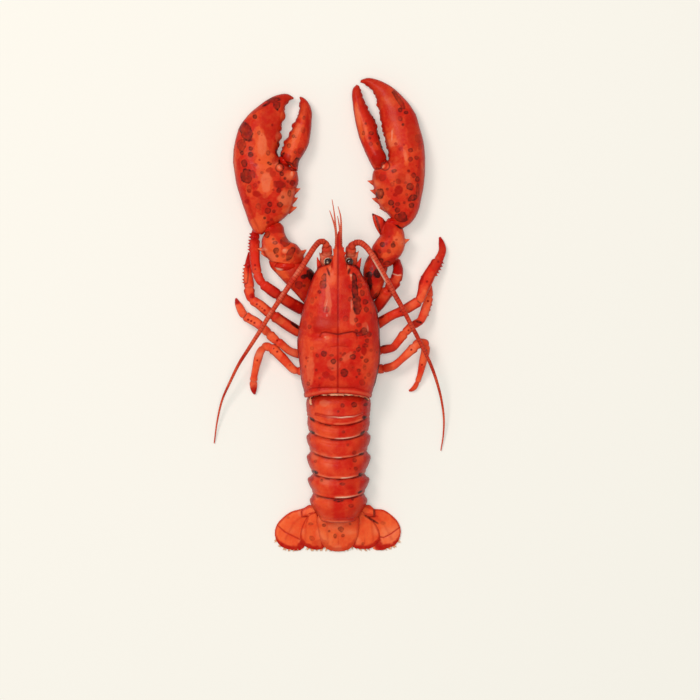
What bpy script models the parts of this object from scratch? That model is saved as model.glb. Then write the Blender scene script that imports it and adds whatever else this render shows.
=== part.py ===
# Cooked lobster lying on its belly, claws forward, seen from above as +Y up and +X right.
# Every size below is in millimetres and the finished meshes are in metres, with +Z up.
# The origin is in the flat underside of the thorax, on the middle line of the body.

import math

import bmesh
import bpy
import numpy as np
from mathutils import Matrix, Vector

MM = 0.001
GAP = 0.32
SMOOTH_ANGLE = math.radians(38)

# Heights that drive the body
CARAPACE_TOP = 49.0
CARAPACE_EDGE = 10.6
THORAX_HALF_WIDTH = 14.6
TAIL_BELLY = 7.0
RING_MIDDLE = 19.5

# Rows of the carapace: y, left x, right x, top, lower edge
CARAPACE_ROWS = [
    (60.0, -9.0, 9.0, 41.4, 34.0),
    (59.0, -13.2, 12.8, 42.4, 31.0),
    (56.5, -16.4, 15.8, 43.4, 28.0),
    (52.0, -18.8, 18.2, 44.6, 25.5),
    (45.0, -21.6, 22.2, 46.0, 23.5),
    (37.0, -24.0, 25.0, 47.3, 21.0),
    (28.0, -27.0, 28.8, 48.3, 15.5),
    (19.0, -28.9, 30.2, CARAPACE_TOP, 11.6),
    (11.0, -29.9, 31.0, CARAPACE_TOP + 0.3, CARAPACE_EDGE),
    (8.0, -30.2, 31.1, CARAPACE_TOP - 0.9, CARAPACE_EDGE),
    (5.0, -30.9, 31.2, CARAPACE_TOP + 0.2, CARAPACE_EDGE),
    (-4.0, -30.8, 31.4, CARAPACE_TOP + 0.4, CARAPACE_EDGE),
    (-13.0, -29.6, 31.0, CARAPACE_TOP, CARAPACE_EDGE),
    (-22.0, -28.7, 29.3, CARAPACE_TOP - 1.0, CARAPACE_EDGE),
    (-30.0, -27.4, 27.4, CARAPACE_TOP - 2.4, CARAPACE_EDGE),
    (-32.6, -26.2, 26.0, CARAPACE_TOP - 4.2, CARAPACE_EDGE),
    (-34.4, -26.2, 25.6, CARAPACE_TOP - 3.6, CARAPACE_EDGE),
    (-36.3, -25.6, 24.6, CARAPACE_TOP - 4.4, CARAPACE_EDGE + 0.6),
]
CARAPACE_REAR_BOW = -3.3

# Half sections of the carapace and of a tail ring: part of the half width, part of the height
CARAPACE_SECTION = [
    (0.70, 0.0), (0.87, 0.11), (0.97, 0.27), (1.0, 0.43), (0.965, 0.62),
    (0.85, 0.80), (0.62, 0.935), (0.32, 0.99), (0.0, 1.0),
]
TAIL_SECTION = [
    (0.93, 0.0), (0.985, 0.12), (1.0, 0.26), (0.975, 0.48),
    (0.88, 0.70), (0.68, 0.88), (0.36, 0.975), (0.0, 1.0),
]
BOW_REACH = 24.0

# Rostrum: left x, y, right x, y, middle height, thickness
ROSTRUM_ROWS = [
    (-9.0, 52.0, 9.0, 52.0, 41.5, 7.0),
    (-6.0, 60.0, 6.4, 60.0, 41.8, 6.4),
    (-4.2, 66.5, 4.4, 66.5, 42.2, 5.4),
    (-2.3, 73.5, 2.4, 73.5, 42.8, 4.2),
    (-1.7, 79.5, 1.8, 79.5, 43.6, 3.0),
    (-0.6, 85.2, 0.9, 85.2, 44.6, 1.4),
]

# Spines as base centre, tip, base radius
HEAD_SPINES = [
    ((-2.6, 68.5, 42.4), (-4.6, 73.2, 43.4), 1.3),
    ((2.8, 69.0, 42.4), (4.4, 74.2, 43.6), 1.3),
    ((3.6, 66.0, 42.2), (6.2, 70.6, 43.2), 1.2),
    ((-13.8, 57.0, 33.4), (-16.2, 66.4, 35.0), 2.5),
    ((13.8, 57.0, 33.4), (17.2, 65.8, 35.0), 2.5),
]

# Tail rings: y on the middle line, how far the sides lie ahead of it, half width, top, side foot
TAIL_RINGS = {
    "abdomen_1": [
        (-37.2, -3.0, 23.6, 35.5, 8.0),
        (-41.5, -1.0, 24.4, 37.6, 5.0),
        (-49.0, 2.6, 24.2, 38.0, 3.2),
        (-57.5, 6.2, 23.8, 38.4, 3.4),
        (-60.2, 7.1, 23.4, 37.8, 4.2),
    ],
    "abdomen_2": [
        (-60.8, 7.1, 23.3, 36.0, 4.2),
        (-63.0, 7.1, 23.6, 37.4, 2.4),
        (-68.6, 7.1, 23.0, 37.6, 2.0),
        (-70.7, 7.1, 21.9, 37.0, 3.4),
    ],
    "abdomen_3": [
        (-71.3, 7.1, 21.9, 35.4, 3.4),
        (-75.6, 7.1, 24.2, 36.8, 1.0),
        (-79.6, 7.1, 23.6, 36.8, 0.6),
        (-83.4, 7.1, 21.8, 36.4, 1.6),
        (-84.9, 7.1, 21.4, 35.8, 2.8),
    ],
    "abdomen_4": [
        (-85.5, 7.1, 21.4, 34.2, 2.8),
        (-91.0, 6.8, 24.2, 35.4, 0.8),
        (-95.0, 6.6, 22.9, 35.4, 0.4),
        (-99.0, 6.1, 20.4, 34.8, 1.6),
        (-100.3, 6.0, 19.8, 34.2, 2.8),
    ],
    "abdomen_5": [
        (-100.9, 6.0, 19.8, 32.6, 2.8),
        (-106.4, 5.8, 23.4, 33.4, 0.8),
        (-110.0, 5.7, 22.0, 33.0, 0.4),
        (-113.6, 5.6, 19.8, 32.2, 1.6),
        (-114.9, 5.6, 19.5, 31.6, 2.8),
    ],
    "abdomen_6": [
        (-115.5, 5.6, 19.5, 29.8, 2.8),
        (-121.5, 5.8, 21.8, 29.2, 1.2),
        (-126.5, 6.0, 19.4, 27.0, 4.0),
        (-131.0, 6.3, 15.0, 23.6, 9.5),
        (-133.6, 6.4, 12.8, 20.8, 13.0),
    ],
}

# Blades of the tail fan: outer x, y, inner x, y, middle height, thickness
TELSON_ROWS = [
    (-14.4, -126.0, 13.0, -126.0, 13.6, 6.4),
    (-16.6, -131.5, 15.4, -130.8, 11.6, 6.2),
    (-15.6, -138.5, 15.2, -137.8, 8.4, 5.0),
    (-14.3, -145.0, 14.6, -144.2, 5.6, 3.8),
    (-12.4, -149.6, 12.5, -149.0, 3.8, 2.8),
    (-10.4, -152.7, 9.8, -152.7, 2.6, 2.0),
    (-6.2, -154.9, 5.4, -154.9, 1.8, 1.5),
    (-1.4, -155.7, 0.8, -155.7, 1.4, 1.0),
]
TAIL_BLADES = {
    "uropod_inner_left": [
        (-20.5, -124.6, -15.6, -126.6, 8.6, 5.0),
        (-24.5, -130.4, -14.5, -132.0, 7.4, 4.4),
        (-27.5, -136.0, -13.0, -137.0, 5.8, 3.8),
        (-29.0, -141.2, -12.0, -142.0, 4.5, 3.2),
        (-29.0, -146.0, -11.0, -146.6, 3.3, 2.6),
        (-27.3, -150.0, -10.0, -150.6, 2.3, 2.0),
        (-23.5, -152.8, -11.5, -153.3, 1.7, 1.6),
        (-19.0, -154.1, -15.5, -154.4, 1.2, 1.0),
    ],
    "uropod_inner_right": [
        (19.0, -124.6, 14.5, -126.6, 8.6, 5.0),
        (24.0, -130.2, 14.0, -132.0, 7.4, 4.4),
        (28.2, -135.0, 13.4, -137.0, 5.8, 3.8),
        (30.8, -140.0, 12.6, -142.0, 4.5, 3.2),
        (31.4, -145.0, 11.2, -146.4, 3.3, 2.6),
        (29.0, -149.8, 9.6, -150.2, 2.3, 2.0),
        (24.5, -153.2, 11.5, -152.8, 1.7, 1.6),
        (20.0, -154.0, 16.0, -153.8, 1.2, 1.0),
    ],
    "uropod_outer_left": [
        (-22.6, -121.2, -19.6, -127.2, 7.4, 5.0),
        (-28.8, -123.3, -22.0, -132.0, 5.9, 4.6),
        (-36.0, -125.4, -24.5, -136.5, 4.5, 3.8),
        (-42.0, -129.6, -26.0, -141.0, 3.3, 3.2),
        (-46.6, -135.0, -26.6, -145.5, 2.4, 2.8),
        (-48.4, -141.0, -26.6, -149.2, 1.8, 2.4),
        (-47.0, -147.4, -28.4, -152.4, 1.4, 2.0),
        (-43.2, -151.9, -31.4, -154.4, 1.1, 1.6),
        (-38.0, -154.2, -35.0, -154.7, 0.8, 1.0),
    ],
    "uropod_outer_right": [
        (20.6, -120.8, 18.0, -127.0, 7.4, 5.0),
        (27.0, -123.0, 21.0, -131.6, 5.9, 4.6),
        (34.0, -123.9, 25.0, -135.5, 4.5, 3.8),
        (39.2, -127.2, 28.0, -140.0, 3.3, 3.2),
        (44.0, -131.8, 29.6, -144.0, 2.4, 2.8),
        (46.9, -138.0, 30.0, -147.6, 1.8, 2.4),
        (46.2, -145.6, 29.6, -150.4, 1.4, 2.0),
        (42.6, -151.0, 31.4, -153.0, 1.1, 1.6),
        (38.0, -153.2, 35.0, -153.5, 0.8, 1.0),
    ],
}
# Small knuckle at the root of each outer blade: centre and radii
BLADE_KNUCKLES = {
    "uropod_outer_left": ((-23.4, -124.6, 7.4), (4.6, 5.0, 3.4)),
    "uropod_outer_right": ((22.8, -124.2, 7.4), (4.6, 5.2, 3.4)),
}

# Claws: outer x, y, inner x, y, middle height, thickness
CRUSHER_PALM_ROWS = [
    (-63.6, 84.4, -57.5, 82.4, 15.0, 9.0),
    (-67.0, 91.0, -50.5, 88.0, 15.5, 17.0),
    (-70.2, 100.0, -39.5, 96.0, 15.5, 24.0),
    (-73.3, 109.0, -34.5, 104.0, 15.6, 28.0),
    (-76.0, 118.0, -32.0, 115.0, 15.6, 30.8),
    (-78.0, 127.0, -30.5, 125.0, 15.6, 32.0),
    (-79.1, 135.0, -31.4, 131.0, 15.4, 32.0),
    (-79.2, 141.0, -42.5, 137.5, 14.8, 30.0),
    (-78.9, 147.0, -46.0, 145.0, 14.2, 27.5),
    (-77.4, 155.0, -44.6, 153.0, 13.5, 24.0),
    (-74.0, 165.0, -43.8, 160.5, 12.5, 21.0),
    (-68.0, 173.0, -42.0, 168.0, 12.0, 18.5),
    (-60.5, 179.5, -40.8, 175.0, 11.0, 16.0),
    (-53.0, 184.8, -39.6, 180.0, 10.5, 13.0),
    (-45.5, 188.0, -37.8, 182.5, 10.0, 10.0),
    (-38.5, 188.7, -36.0, 184.0, 9.5, 7.0),
    (-33.6, 186.2, -33.6, 184.6, 9.2, 2.4),
]
CRUSHER_FINGER_ROWS = [
    (-30.6, 130.0, -38.5, 135.5, 14.5, 14.0),
    (-30.2, 133.6, -42.6, 139.6, 14.5, 18.5),
    (-29.4, 137.5, -44.0, 143.0, 14.2, 20.5),
    (-26.5, 142.4, -42.2, 147.6, 13.8, 20.5),
    (-23.0, 149.0, -39.4, 153.5, 13.4, 19.5),
    (-21.0, 158.0, -35.6, 160.5, 12.8, 17.5),
    (-20.0, 167.5, -32.0, 169.0, 12.2, 15.0),
    (-20.0, 176.0, -29.2, 176.4, 11.5, 12.5),
    (-22.4, 182.0, -29.0, 181.2, 11.0, 9.5),
    (-25.8, 185.6, -29.0, 184.2, 10.5, 6.0),
    (-28.8, 186.9, -29.8, 185.7, 10.2, 2.2),
]
CUTTER_PALM_ROWS = [
    (47.0, 86.6, 42.0, 91.5, 14.5, 9.0),
    (54.5, 91.5, 36.8, 98.0, 14.5, 17.0),
    (60.0, 100.0, 31.2, 103.0, 14.5, 22.5),
    (62.3, 109.5, 28.0, 109.5, 14.5, 26.0),
    (64.0, 118.5, 26.4, 117.0, 14.5, 28.6),
    (65.0, 128.0, 25.0, 125.0, 14.5, 30.0),
    (65.2, 136.5, 26.5, 131.5, 14.4, 29.8),
    (64.8, 145.0, 37.5, 139.5, 13.8, 27.0),
    (63.6, 154.0, 36.5, 148.5, 13.0, 24.0),
    (61.0, 163.5, 34.2, 158.0, 12.5, 20.5),
    (57.6, 174.0, 32.0, 168.0, 12.0, 18.0),
    (52.0, 182.6, 30.6, 177.0, 11.5, 16.0),
    (44.5, 190.2, 28.5, 184.5, 11.0, 13.5),
    (36.5, 196.2, 25.5, 191.0, 10.5, 11.0),
    (29.4, 199.6, 22.0, 194.5, 10.0, 8.5),
    (21.8, 201.0, 19.2, 196.0, 9.5, 6.6),
    (16.4, 199.4, 16.0, 197.0, 9.0, 2.6),
]
CUTTER_FINGER_ROWS = [
    (27.6, 130.5, 35.0, 135.0, 13.5, 12.0),
    (25.0, 134.0, 36.2, 139.6, 13.5, 15.5),
    (22.6, 138.5, 35.6, 143.0, 13.4, 17.5),
    (19.5, 145.5, 32.6, 148.5, 13.0, 17.0),
    (16.0, 154.0, 30.0, 157.0, 12.5, 15.5),
    (13.5, 163.5, 28.0, 166.0, 12.0, 14.0),
    (11.6, 172.5, 24.4, 173.0, 11.5, 13.0),
    (10.4, 181.0, 20.0, 181.5, 11.0, 11.0),
    (10.0, 187.5, 17.2, 188.5, 10.5, 8.5),
    (11.0, 193.0, 16.2, 192.5, 10.0, 6.0),
    (13.6, 195.7, 15.6, 194.6, 9.5, 2.4),
]
CRUSHER_WRIST_ROWS = [
    (-51.5, 62.4, -30.5, 59.6, 15.5, 13.0),
    (-54.5, 66.5, -26.0, 63.0, 16.2, 18.0),
    (-57.0, 72.0, -26.4, 68.0, 16.6, 20.0),
    (-58.0, 76.5, -31.0, 75.0, 16.6, 20.0),
    (-57.0, 81.0, -37.0, 78.5, 16.2, 18.5),
    (-55.0, 84.6, -40.0, 84.0, 15.6, 15.5),
    (-52.6, 88.0, -41.0, 88.8, 15.2, 12.0),
    (-49.8, 91.0, -44.0, 92.0, 15.0, 8.0),
]
CUTTER_WRIST_ROWS = [
    (29.5, 58.2, 39.5, 58.8, 15.5, 10.0),
    (26.0, 62.5, 44.0, 63.5, 16.2, 16.0),
    (24.5, 68.0, 48.0, 68.5, 16.6, 19.0),
    (25.0, 73.5, 50.0, 74.0, 16.6, 20.0),
    (28.0, 78.5, 50.0, 79.5, 16.4, 19.5),
    (31.5, 83.0, 49.5, 84.0, 16.0, 17.5),
    (32.6, 88.0, 48.0, 87.8, 15.4, 15.0),
    (34.6, 92.0, 44.6, 91.4, 15.0, 11.0),
    (37.0, 95.4, 41.4, 94.6, 14.6, 7.0),
]
CRUSHER_ARM_ROWS = [
    (-16.0, 22.0, -5.0, 41.0, 11.0, 10.0),
    (-21.5, 27.0, -10.0, 46.0, 12.0, 12.5),
    (-27.0, 32.0, -15.5, 51.0, 13.0, 14.5),
    (-33.5, 39.6, -19.6, 56.0, 14.0, 17.0),
    (-39.5, 45.4, -25.0, 59.6, 14.6, 18.0),
    (-46.0, 52.4, -29.5, 63.4, 15.0, 18.0),
    (-51.0, 58.4, -34.0, 68.0, 15.4, 15.0),
    (-52.5, 63.0, -39.0, 71.5, 15.6, 11.0),
]
# Leaf-shaped spur on the inner side of the cutter's wrist
CUTTER_SPUR_ROWS = [
    (31.0, 82.0, 34.5, 83.0, 17.0, 6.0),
    (27.6, 87.6, 34.8, 88.6, 17.6, 6.4),
    (25.8, 92.4, 35.2, 92.6, 18.0, 5.6),
    (25.0, 96.6, 33.4, 95.4, 18.2, 4.0),
    (24.8, 99.0, 26.6, 98.8, 18.4, 1.4),
]
CUTTER_ARM_ROWS = [
    (8.0, 28.0, 18.0, 24.0, 11.0, 10.0),
    (15.0, 33.0, 25.0, 31.5, 12.0, 12.0),
    (18.6, 39.0, 31.0, 38.6, 13.0, 13.5),
    (19.0, 45.0, 33.8, 44.6, 14.0, 15.5),
    (18.4, 52.0, 35.5, 51.5, 14.8, 17.0),
    (18.8, 58.6, 37.0, 57.8, 15.2, 16.5),
    (20.8, 64.4, 36.6, 63.4, 15.4, 14.0),
    (23.0, 67.6, 33.6, 67.6, 15.6, 9.0),
]
CLAW_SPINES = {
    "crusher_palm": [
        ((-35.0, 114.0, 17.0), (-28.4, 117.6, 18.0), 3.0),
        ((-36.5, 107.0, 17.0), (-30.2, 110.6, 18.0), 3.0),
        ((-38.0, 100.5, 16.5), (-31.0, 103.6, 17.5), 2.8),
        ((-45.5, 135.0, 16.0), (-44.4, 133.6, 28.4), 3.4),
        ((-37.5, 126.0, 17.0), (-36.2, 126.4, 27.2), 3.2),
    ],
    "cutter_palm": [
        ((29.0, 120.5, 16.0), (21.0, 123.4, 17.0), 3.0),
        ((30.5, 113.5, 16.0), (23.2, 116.4, 17.0), 3.0),
        ((31.5, 107.5, 16.0), (24.6, 110.2, 17.0), 2.8),
        ((36.0, 101.5, 15.5), (30.0, 102.6, 16.5), 2.4),
    ],
    "crusher_wrist": [
        ((-55.0, 71.0, 17.0), (-61.2, 72.4, 17.6), 2.8),
        ((-53.5, 67.5, 17.0), (-58.6, 68.8, 17.6), 2.4),
        ((-29.0, 67.6, 18.0), (-24.0, 71.6, 19.0), 2.8),
    ],
    "cutter_wrist": [
        ((47.0, 76.5, 17.0), (53.6, 79.4, 17.6), 2.8),
    ],
}
# Crushing teeth: centre, radii
CLAW_TEETH = {
    "crusher_palm": [
        ((-46.4, 150.4, 13.8), (2.6, 3.0, 4.6)),
        ((-45.0, 156.6, 13.2), (2.8, 3.4, 4.6)),
        ((-44.6, 162.6, 12.6), (2.4, 2.4, 4.0)),
        ((-42.4, 172.0, 11.8), (2.8, 4.0, 4.0)),
    ],
    "crusher_finger": [
        ((-39.2, 151.8, 13.4), (2.4, 2.6, 4.2)),
        ((-35.2, 158.6, 13.0), (2.4, 2.6, 4.0)),
        ((-33.2, 164.4, 12.6), (2.4, 2.6, 3.8)),
    ],
    "cutter_palm": [
        ((30.6, 180.4, 11.4), (2.6, 2.2, 2.8)),
        ((33.2, 172.4, 11.8), (2.4, 2.0, 2.8)),
        ((35.2, 162.0, 12.4), (2.6, 2.6, 3.2)),
        ((38.8, 149.8, 13.2), (2.4, 2.6, 3.4)),
    ],
    "cutter_finger": [
        ((17.6, 183.2, 11.0), (2.2, 2.0, 2.6)),
        ((20.4, 178.2, 11.2), (2.4, 2.0, 2.8)),
        ((25.6, 166.0, 12.0), (2.6, 2.4, 3.2)),
    ],
}

# Walking legs: x, y, height, width, thickness along the middle of each leg
LEG_PATHS = {
    "leg_left_1": [
        (-15.1, 20.5, 5.0, 7.0, 6.8), (-21.5, 23.5, 5.8, 8.6, 8.0), (-28.5, 27.4, 8.8, 9.2, 8.6),
        (-36.5, 31.8, 14.0, 9.0, 8.8), (-44.0, 36.6, 18.4, 8.6, 8.8), (-51.5, 41.8, 20.6, 8.3, 8.4),
        (-56.5, 45.6, 21.0, 7.2, 7.6), (-59.4, 49.5, 20.2, 6.8, 7.2), (-61.2, 55.0, 18.2, 7.4, 7.4),
        (-62.6, 62.0, 15.6, 7.6, 7.2), (-63.0, 70.5, 12.0, 7.2, 6.6), (-63.0, 78.0, 7.4, 6.6, 5.6),
        (-62.5, 84.0, 4.4, 5.6, 4.6), (-62.0, 89.0, 2.6, 3.8, 3.4), (-61.0, 93.0, 1.6, 1.6, 1.6),
    ],
    "leg_left_2": [
        (-15.1, 7.4, 5.0, 6.6, 6.6), (-21.5, 7.8, 5.6, 7.8, 7.6), (-28.5, 9.4, 8.2, 8.4, 8.2),
        (-36.5, 13.8, 13.0, 8.6, 8.4), (-45.5, 19.8, 17.0, 8.2, 8.0), (-53.0, 25.0, 18.6, 8.0, 8.0),
        (-59.5, 30.4, 18.8, 7.6, 7.4), (-65.4, 34.6, 17.4, 6.8, 6.6), (-67.8, 39.2, 15.2, 7.0, 6.8),
        (-68.2, 46.0, 12.0, 7.0, 6.6), (-69.0, 52.5, 8.6, 6.0, 5.8), (-69.0, 59.0, 5.6, 5.0, 4.8),
        (-68.6, 65.0, 3.4, 3.6, 3.6), (-67.4, 70.0, 1.6, 1.6, 1.6),
    ],
    "leg_left_3": [
        (-15.1, -5.6, 5.0, 6.2, 6.4), (-21.5, -6.6, 5.6, 7.2, 7.2), (-28.5, -6.8, 8.0, 7.4, 7.4),
        (-36.0, -4.8, 13.2, 6.2, 7.0), (-43.0, 0.6, 16.8, 6.2, 7.0), (-49.0, 5.2, 18.2, 7.0, 7.0),
        (-53.5, 9.7, 18.2, 6.8, 6.6), (-57.5, 13.5, 17.2, 6.9, 7.0), (-62.5, 17.4, 14.8, 7.6, 7.0),
        (-68.0, 20.4, 11.4, 7.2, 6.6), (-71.6, 23.2, 9.2, 6.6, 6.2), (-74.2, 28.0, 6.4, 6.2, 5.6),
        (-76.2, 32.0, 3.4, 4.2, 4.0), (-77.2, 35.2, 1.4, 1.8, 1.6),
    ],
    "leg_left_4": [
        (-15.1, -17.4, 5.0, 5.8, 6.4), (-21.5, -18.8, 5.6, 6.4, 7.0), (-28.5, -19.6, 8.0, 6.2, 6.8),
        (-33.6, -18.6, 10.0, 6.2, 6.6), (-38.0, -14.3, 11.8, 6.8, 6.6), (-44.0, -7.9, 13.2, 7.6, 7.0),
        (-50.0, -2.6, 13.6, 7.6, 7.0), (-54.5, -1.4, 13.4, 6.4, 6.2), (-58.0, -4.0, 12.6, 6.2, 6.2),
        (-60.2, -9.4, 12.0, 6.8, 6.6), (-62.0, -16.5, 9.0, 5.8, 6.2), (-63.5, -24.0, 6.0, 5.4, 5.6),
        (-64.0, -30.0, 3.6, 6.0, 5.0), (-63.7, -34.6, 2.0, 4.2, 3.6), (-63.2, -37.2, 1.2, 1.6, 1.6),
    ],
    "leg_right_1": [
        (15.1, 20.0, 5.0, 7.0, 6.8), (21.5, 22.5, 5.8, 8.4, 8.0), (28.5, 28.6, 9.4, 8.8, 8.6),
        (34.2, 36.0, 14.4, 9.4, 9.0), (38.6, 42.6, 17.6, 9.0, 8.8), (42.6, 48.4, 18.0, 9.4, 8.6),
        (44.6, 55.0, 14.6, 8.2, 7.8), (43.8, 60.8, 9.0, 6.8, 6.4), (42.0, 65.4, 4.4, 5.4, 5.0),
        (39.6, 69.6, 2.4, 4.0, 3.6), (37.6, 73.0, 1.4, 1.6, 1.6),
    ],
    "leg_right_2": [
        (15.1, 7.0, 5.0, 6.4, 6.6), (21.5, 10.4, 5.8, 7.2, 7.4), (28.5, 15.0, 8.8, 7.6, 7.6),
        (35.0, 19.2, 12.8, 7.2, 7.6), (41.5, 22.8, 15.6, 6.9, 7.6), (47.0, 25.0, 17.0, 7.2, 7.2),
        (51.5, 27.4, 18.0, 7.6, 7.6), (56.5, 30.4, 18.6, 7.6, 7.6), (60.8, 33.6, 18.2, 7.0, 6.8),
        (63.0, 39.0, 16.6, 7.4, 7.0), (65.2, 46.0, 14.0, 8.2, 7.0), (68.6, 53.0, 11.4, 7.6, 6.6),
        (73.0, 60.0, 8.6, 7.2, 6.2), (77.0, 66.5, 6.0, 6.6, 5.6), (78.6, 71.2, 4.2, 6.2, 5.2),
        (78.0, 76.6, 2.6, 4.8, 4.0), (76.6, 81.4, 1.4, 1.8, 1.8),
    ],
    "leg_right_3": [
        (15.1, -5.0, 5.0, 6.0, 6.4), (21.5, -5.0, 5.6, 6.6, 7.0), (28.5, -4.4, 8.0, 6.8, 7.2),
        (35.5, -3.2, 11.6, 6.8, 7.0), (41.0, -1.8, 13.8, 6.2, 6.6), (44.8, 2.6, 15.0, 6.4, 6.8),
        (49.0, 8.0, 16.2, 6.8, 7.0), (53.5, 12.8, 16.8, 6.5, 6.6), (57.5, 15.6, 16.8, 6.4, 6.4),
        (61.0, 17.8, 15.8, 6.2, 6.2), (63.6, 22.2, 13.4, 6.8, 6.4), (65.6, 28.0, 10.4, 7.0, 6.0),
        (67.5, 34.0, 7.4, 6.4, 5.4), (68.6, 40.0, 4.6, 5.0, 4.6), (68.6, 44.4, 2.6, 3.4, 3.4),
        (68.2, 48.0, 1.4, 1.6, 1.6),
    ],
    "leg_right_4": [
        (15.1, -17.0, 5.0, 5.8, 6.4), (21.5, -18.0, 5.6, 6.6, 7.0), (28.5, -18.2, 8.0, 6.8, 7.0),
        (35.5, -17.4, 11.4, 6.8, 6.8), (41.0, -15.8, 13.6, 6.4, 6.6), (45.5, -12.4, 15.0, 5.8, 6.6),
        (50.5, -7.8, 16.2, 6.4, 7.0), (56.0, -2.6, 16.8, 7.2, 7.0), (60.5, 1.2, 16.8, 7.6, 6.8),
        (64.4, 0.6, 15.8, 7.4, 6.6), (65.2, -4.5, 14.0, 6.8, 6.6), (63.8, -10.5, 11.6, 6.4, 6.2),
        (62.6, -16.5, 9.0, 5.6, 5.6), (61.0, -23.0, 6.2, 4.6, 5.0), (59.0, -28.5, 3.8, 4.0, 4.4),
        (57.0, -32.2, 2.4, 4.0, 3.8), (54.4, -34.0, 1.6, 2.8, 2.8), (52.8, -34.4, 1.0, 1.6, 1.6),
    ],
}

# Feelers in the same form as the legs
FEELER_BASES = {
    "feeler_base_left": [
        (-10.8, 51.0, 22.4, 7.0, 6.0), (-10.2, 55.4, 23.2, 9.8, 9.4), (-9.4, 61.0, 24.2, 10.4, 10.0),
        (-8.7, 67.0, 25.6, 9.2, 9.6), (-8.8, 72.4, 29.2, 7.2, 8.0), (-9.6, 75.6, 32.0, 5.4, 6.2),
        (-10.9, 77.1, 33.6, 4.0, 4.2),
    ],
    "feeler_base_right": [
        (10.8, 51.0, 22.4, 7.0, 6.0), (10.2, 55.4, 23.2, 9.8, 9.4), (9.6, 61.0, 24.2, 10.0, 10.0),
        (9.2, 66.6, 25.6, 8.8, 9.6), (9.2, 71.2, 29.0, 7.6, 8.2), (10.2, 74.2, 31.8, 6.2, 6.6),
        (12.0, 76.0, 33.5, 4.6, 4.6),
    ],
}
FEELER_BASE_THORNS = {
    "feeler_base_left": ((-10.6, 62.0, 25.6), (-14.4, 69.3, 27.6), 2.6),
    "feeler_base_right": ((10.8, 62.4, 25.6), (15.2, 70.6, 27.6), 2.6),
}
FEELER_PATHS = {
    "feeler_left": [
        (-10.6, 77.3, 34.4, 4.3, 4.3), (-14.0, 77.0, 36.4, 4.4, 4.4), (-17.4, 73.6, 38.6, 4.3, 4.3),
        (-22.2, 66.2, 41.0, 4.3, 4.2), (-27.8, 57.4, 41.5, 4.2, 4.1), (-34.8, 47.2, 40.5, 4.1, 4.0),
        (-42.4, 35.8, 38.0, 3.9, 3.8), (-50.6, 23.6, 35.0, 3.6, 3.5), (-58.6, 10.6, 31.0, 3.3, 3.2),
        (-66.6, -1.8, 27.0, 2.9, 2.9), (-74.6, -14.2, 22.0, 2.5, 2.5), (-81.2, -27.4, 16.5, 2.1, 2.1),
        (-87.3, -41.0, 11.0, 1.7, 1.7), (-91.2, -57.0, 5.6, 1.3, 1.3), (-93.6, -74.0, 0.9, 0.9, 0.9),
    ],
    "feeler_right": [
        (12.2, 76.3, 34.5, 4.7, 4.5), (16.0, 76.4, 36.2, 4.7, 4.5), (19.8, 74.0, 38.4, 4.5, 4.4),
        (24.6, 68.0, 40.5, 4.3, 4.3), (29.5, 60.0, 41.5, 4.2, 4.2), (35.5, 49.5, 41.0, 4.1, 4.0),
        (41.5, 38.5, 39.5, 3.9, 3.9), (47.5, 28.0, 37.0, 3.7, 3.6), (53.2, 17.0, 34.0, 3.4, 3.4),
        (59.0, 6.0, 30.5, 3.2, 3.1), (64.6, -5.0, 26.5, 2.8, 2.8), (69.8, -16.5, 22.0, 2.5, 2.5),
        (74.0, -28.5, 17.0, 2.2, 2.2), (77.4, -42.0, 11.5, 1.8, 1.8), (79.2, -56.0, 6.5, 1.5, 1.5),
        (78.8, -68.0, 3.0, 1.2, 1.2), (77.0, -79.6, 0.8, 0.8, 0.8),
    ],
}
# Small feelers: one stalk and two whips on each side
SMALL_FEELERS = {
    "small_feeler_left": [
        [(-2.4, 60.0, 30.8, 3.2, 3.6), (-1.9, 70.0, 33.0, 2.8, 3.2), (-1.5, 81.0, 35.6, 2.1, 2.2)],
        [(-1.6, 79.0, 35.8, 1.9, 1.9), (-2.4, 87.0, 37.0, 1.6, 1.6), (-4.4, 94.0, 37.5, 1.2, 1.2),
         (-6.7, 100.5, 37.0, 0.6, 0.6)],
        [(-1.4, 79.0, 36.0, 1.9, 1.9), (-2.1, 88.0, 38.5, 1.5, 1.5), (-3.1, 98.0, 40.0, 1.1, 1.1),
         (-4.8, 108.6, 41.0, 0.6, 0.6)],
    ],
    "small_feeler_right": [
        [(2.4, 60.0, 30.8, 3.2, 3.6), (2.0, 70.0, 33.0, 2.8, 3.2), (1.7, 81.0, 35.6, 2.1, 2.2)],
        [(1.8, 79.0, 36.0, 1.9, 1.9), (2.0, 88.0, 38.5, 1.6, 1.6), (1.5, 96.4, 40.0, 1.1, 1.1),
         (-0.4, 103.6, 41.0, 0.6, 0.6)],
        [(1.4, 79.0, 35.8, 1.9, 1.9), (0.7, 88.0, 37.0, 1.3, 1.3), (-0.7, 96.4, 37.5, 0.6, 0.6)],
    ],
}

# Eyes on short stalks
EYE_PATHS = {
    "eye_left": [
        (-4.6, 58.0, 36.4, 3.6, 3.8), (-5.8, 59.6, 36.8, 4.4, 4.6), (-7.1, 61.2, 37.3, 5.6, 5.6),
        (-8.6, 62.6, 37.6, 6.2, 6.2), (-10.0, 63.7, 37.8, 5.0, 5.0), (-10.9, 64.4, 37.9, 1.8, 1.8),
    ],
    "eye_right": [
        (4.8, 58.0, 36.4, 3.6, 3.8), (6.0, 59.6, 36.8, 4.4, 4.6), (7.3, 61.2, 37.3, 5.6, 5.6),
        (8.8, 62.6, 37.6, 6.2, 6.2), (10.2, 63.7, 37.8, 5.0, 5.0), (11.1, 64.4, 37.9, 1.8, 1.8),
    ],
}

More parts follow.
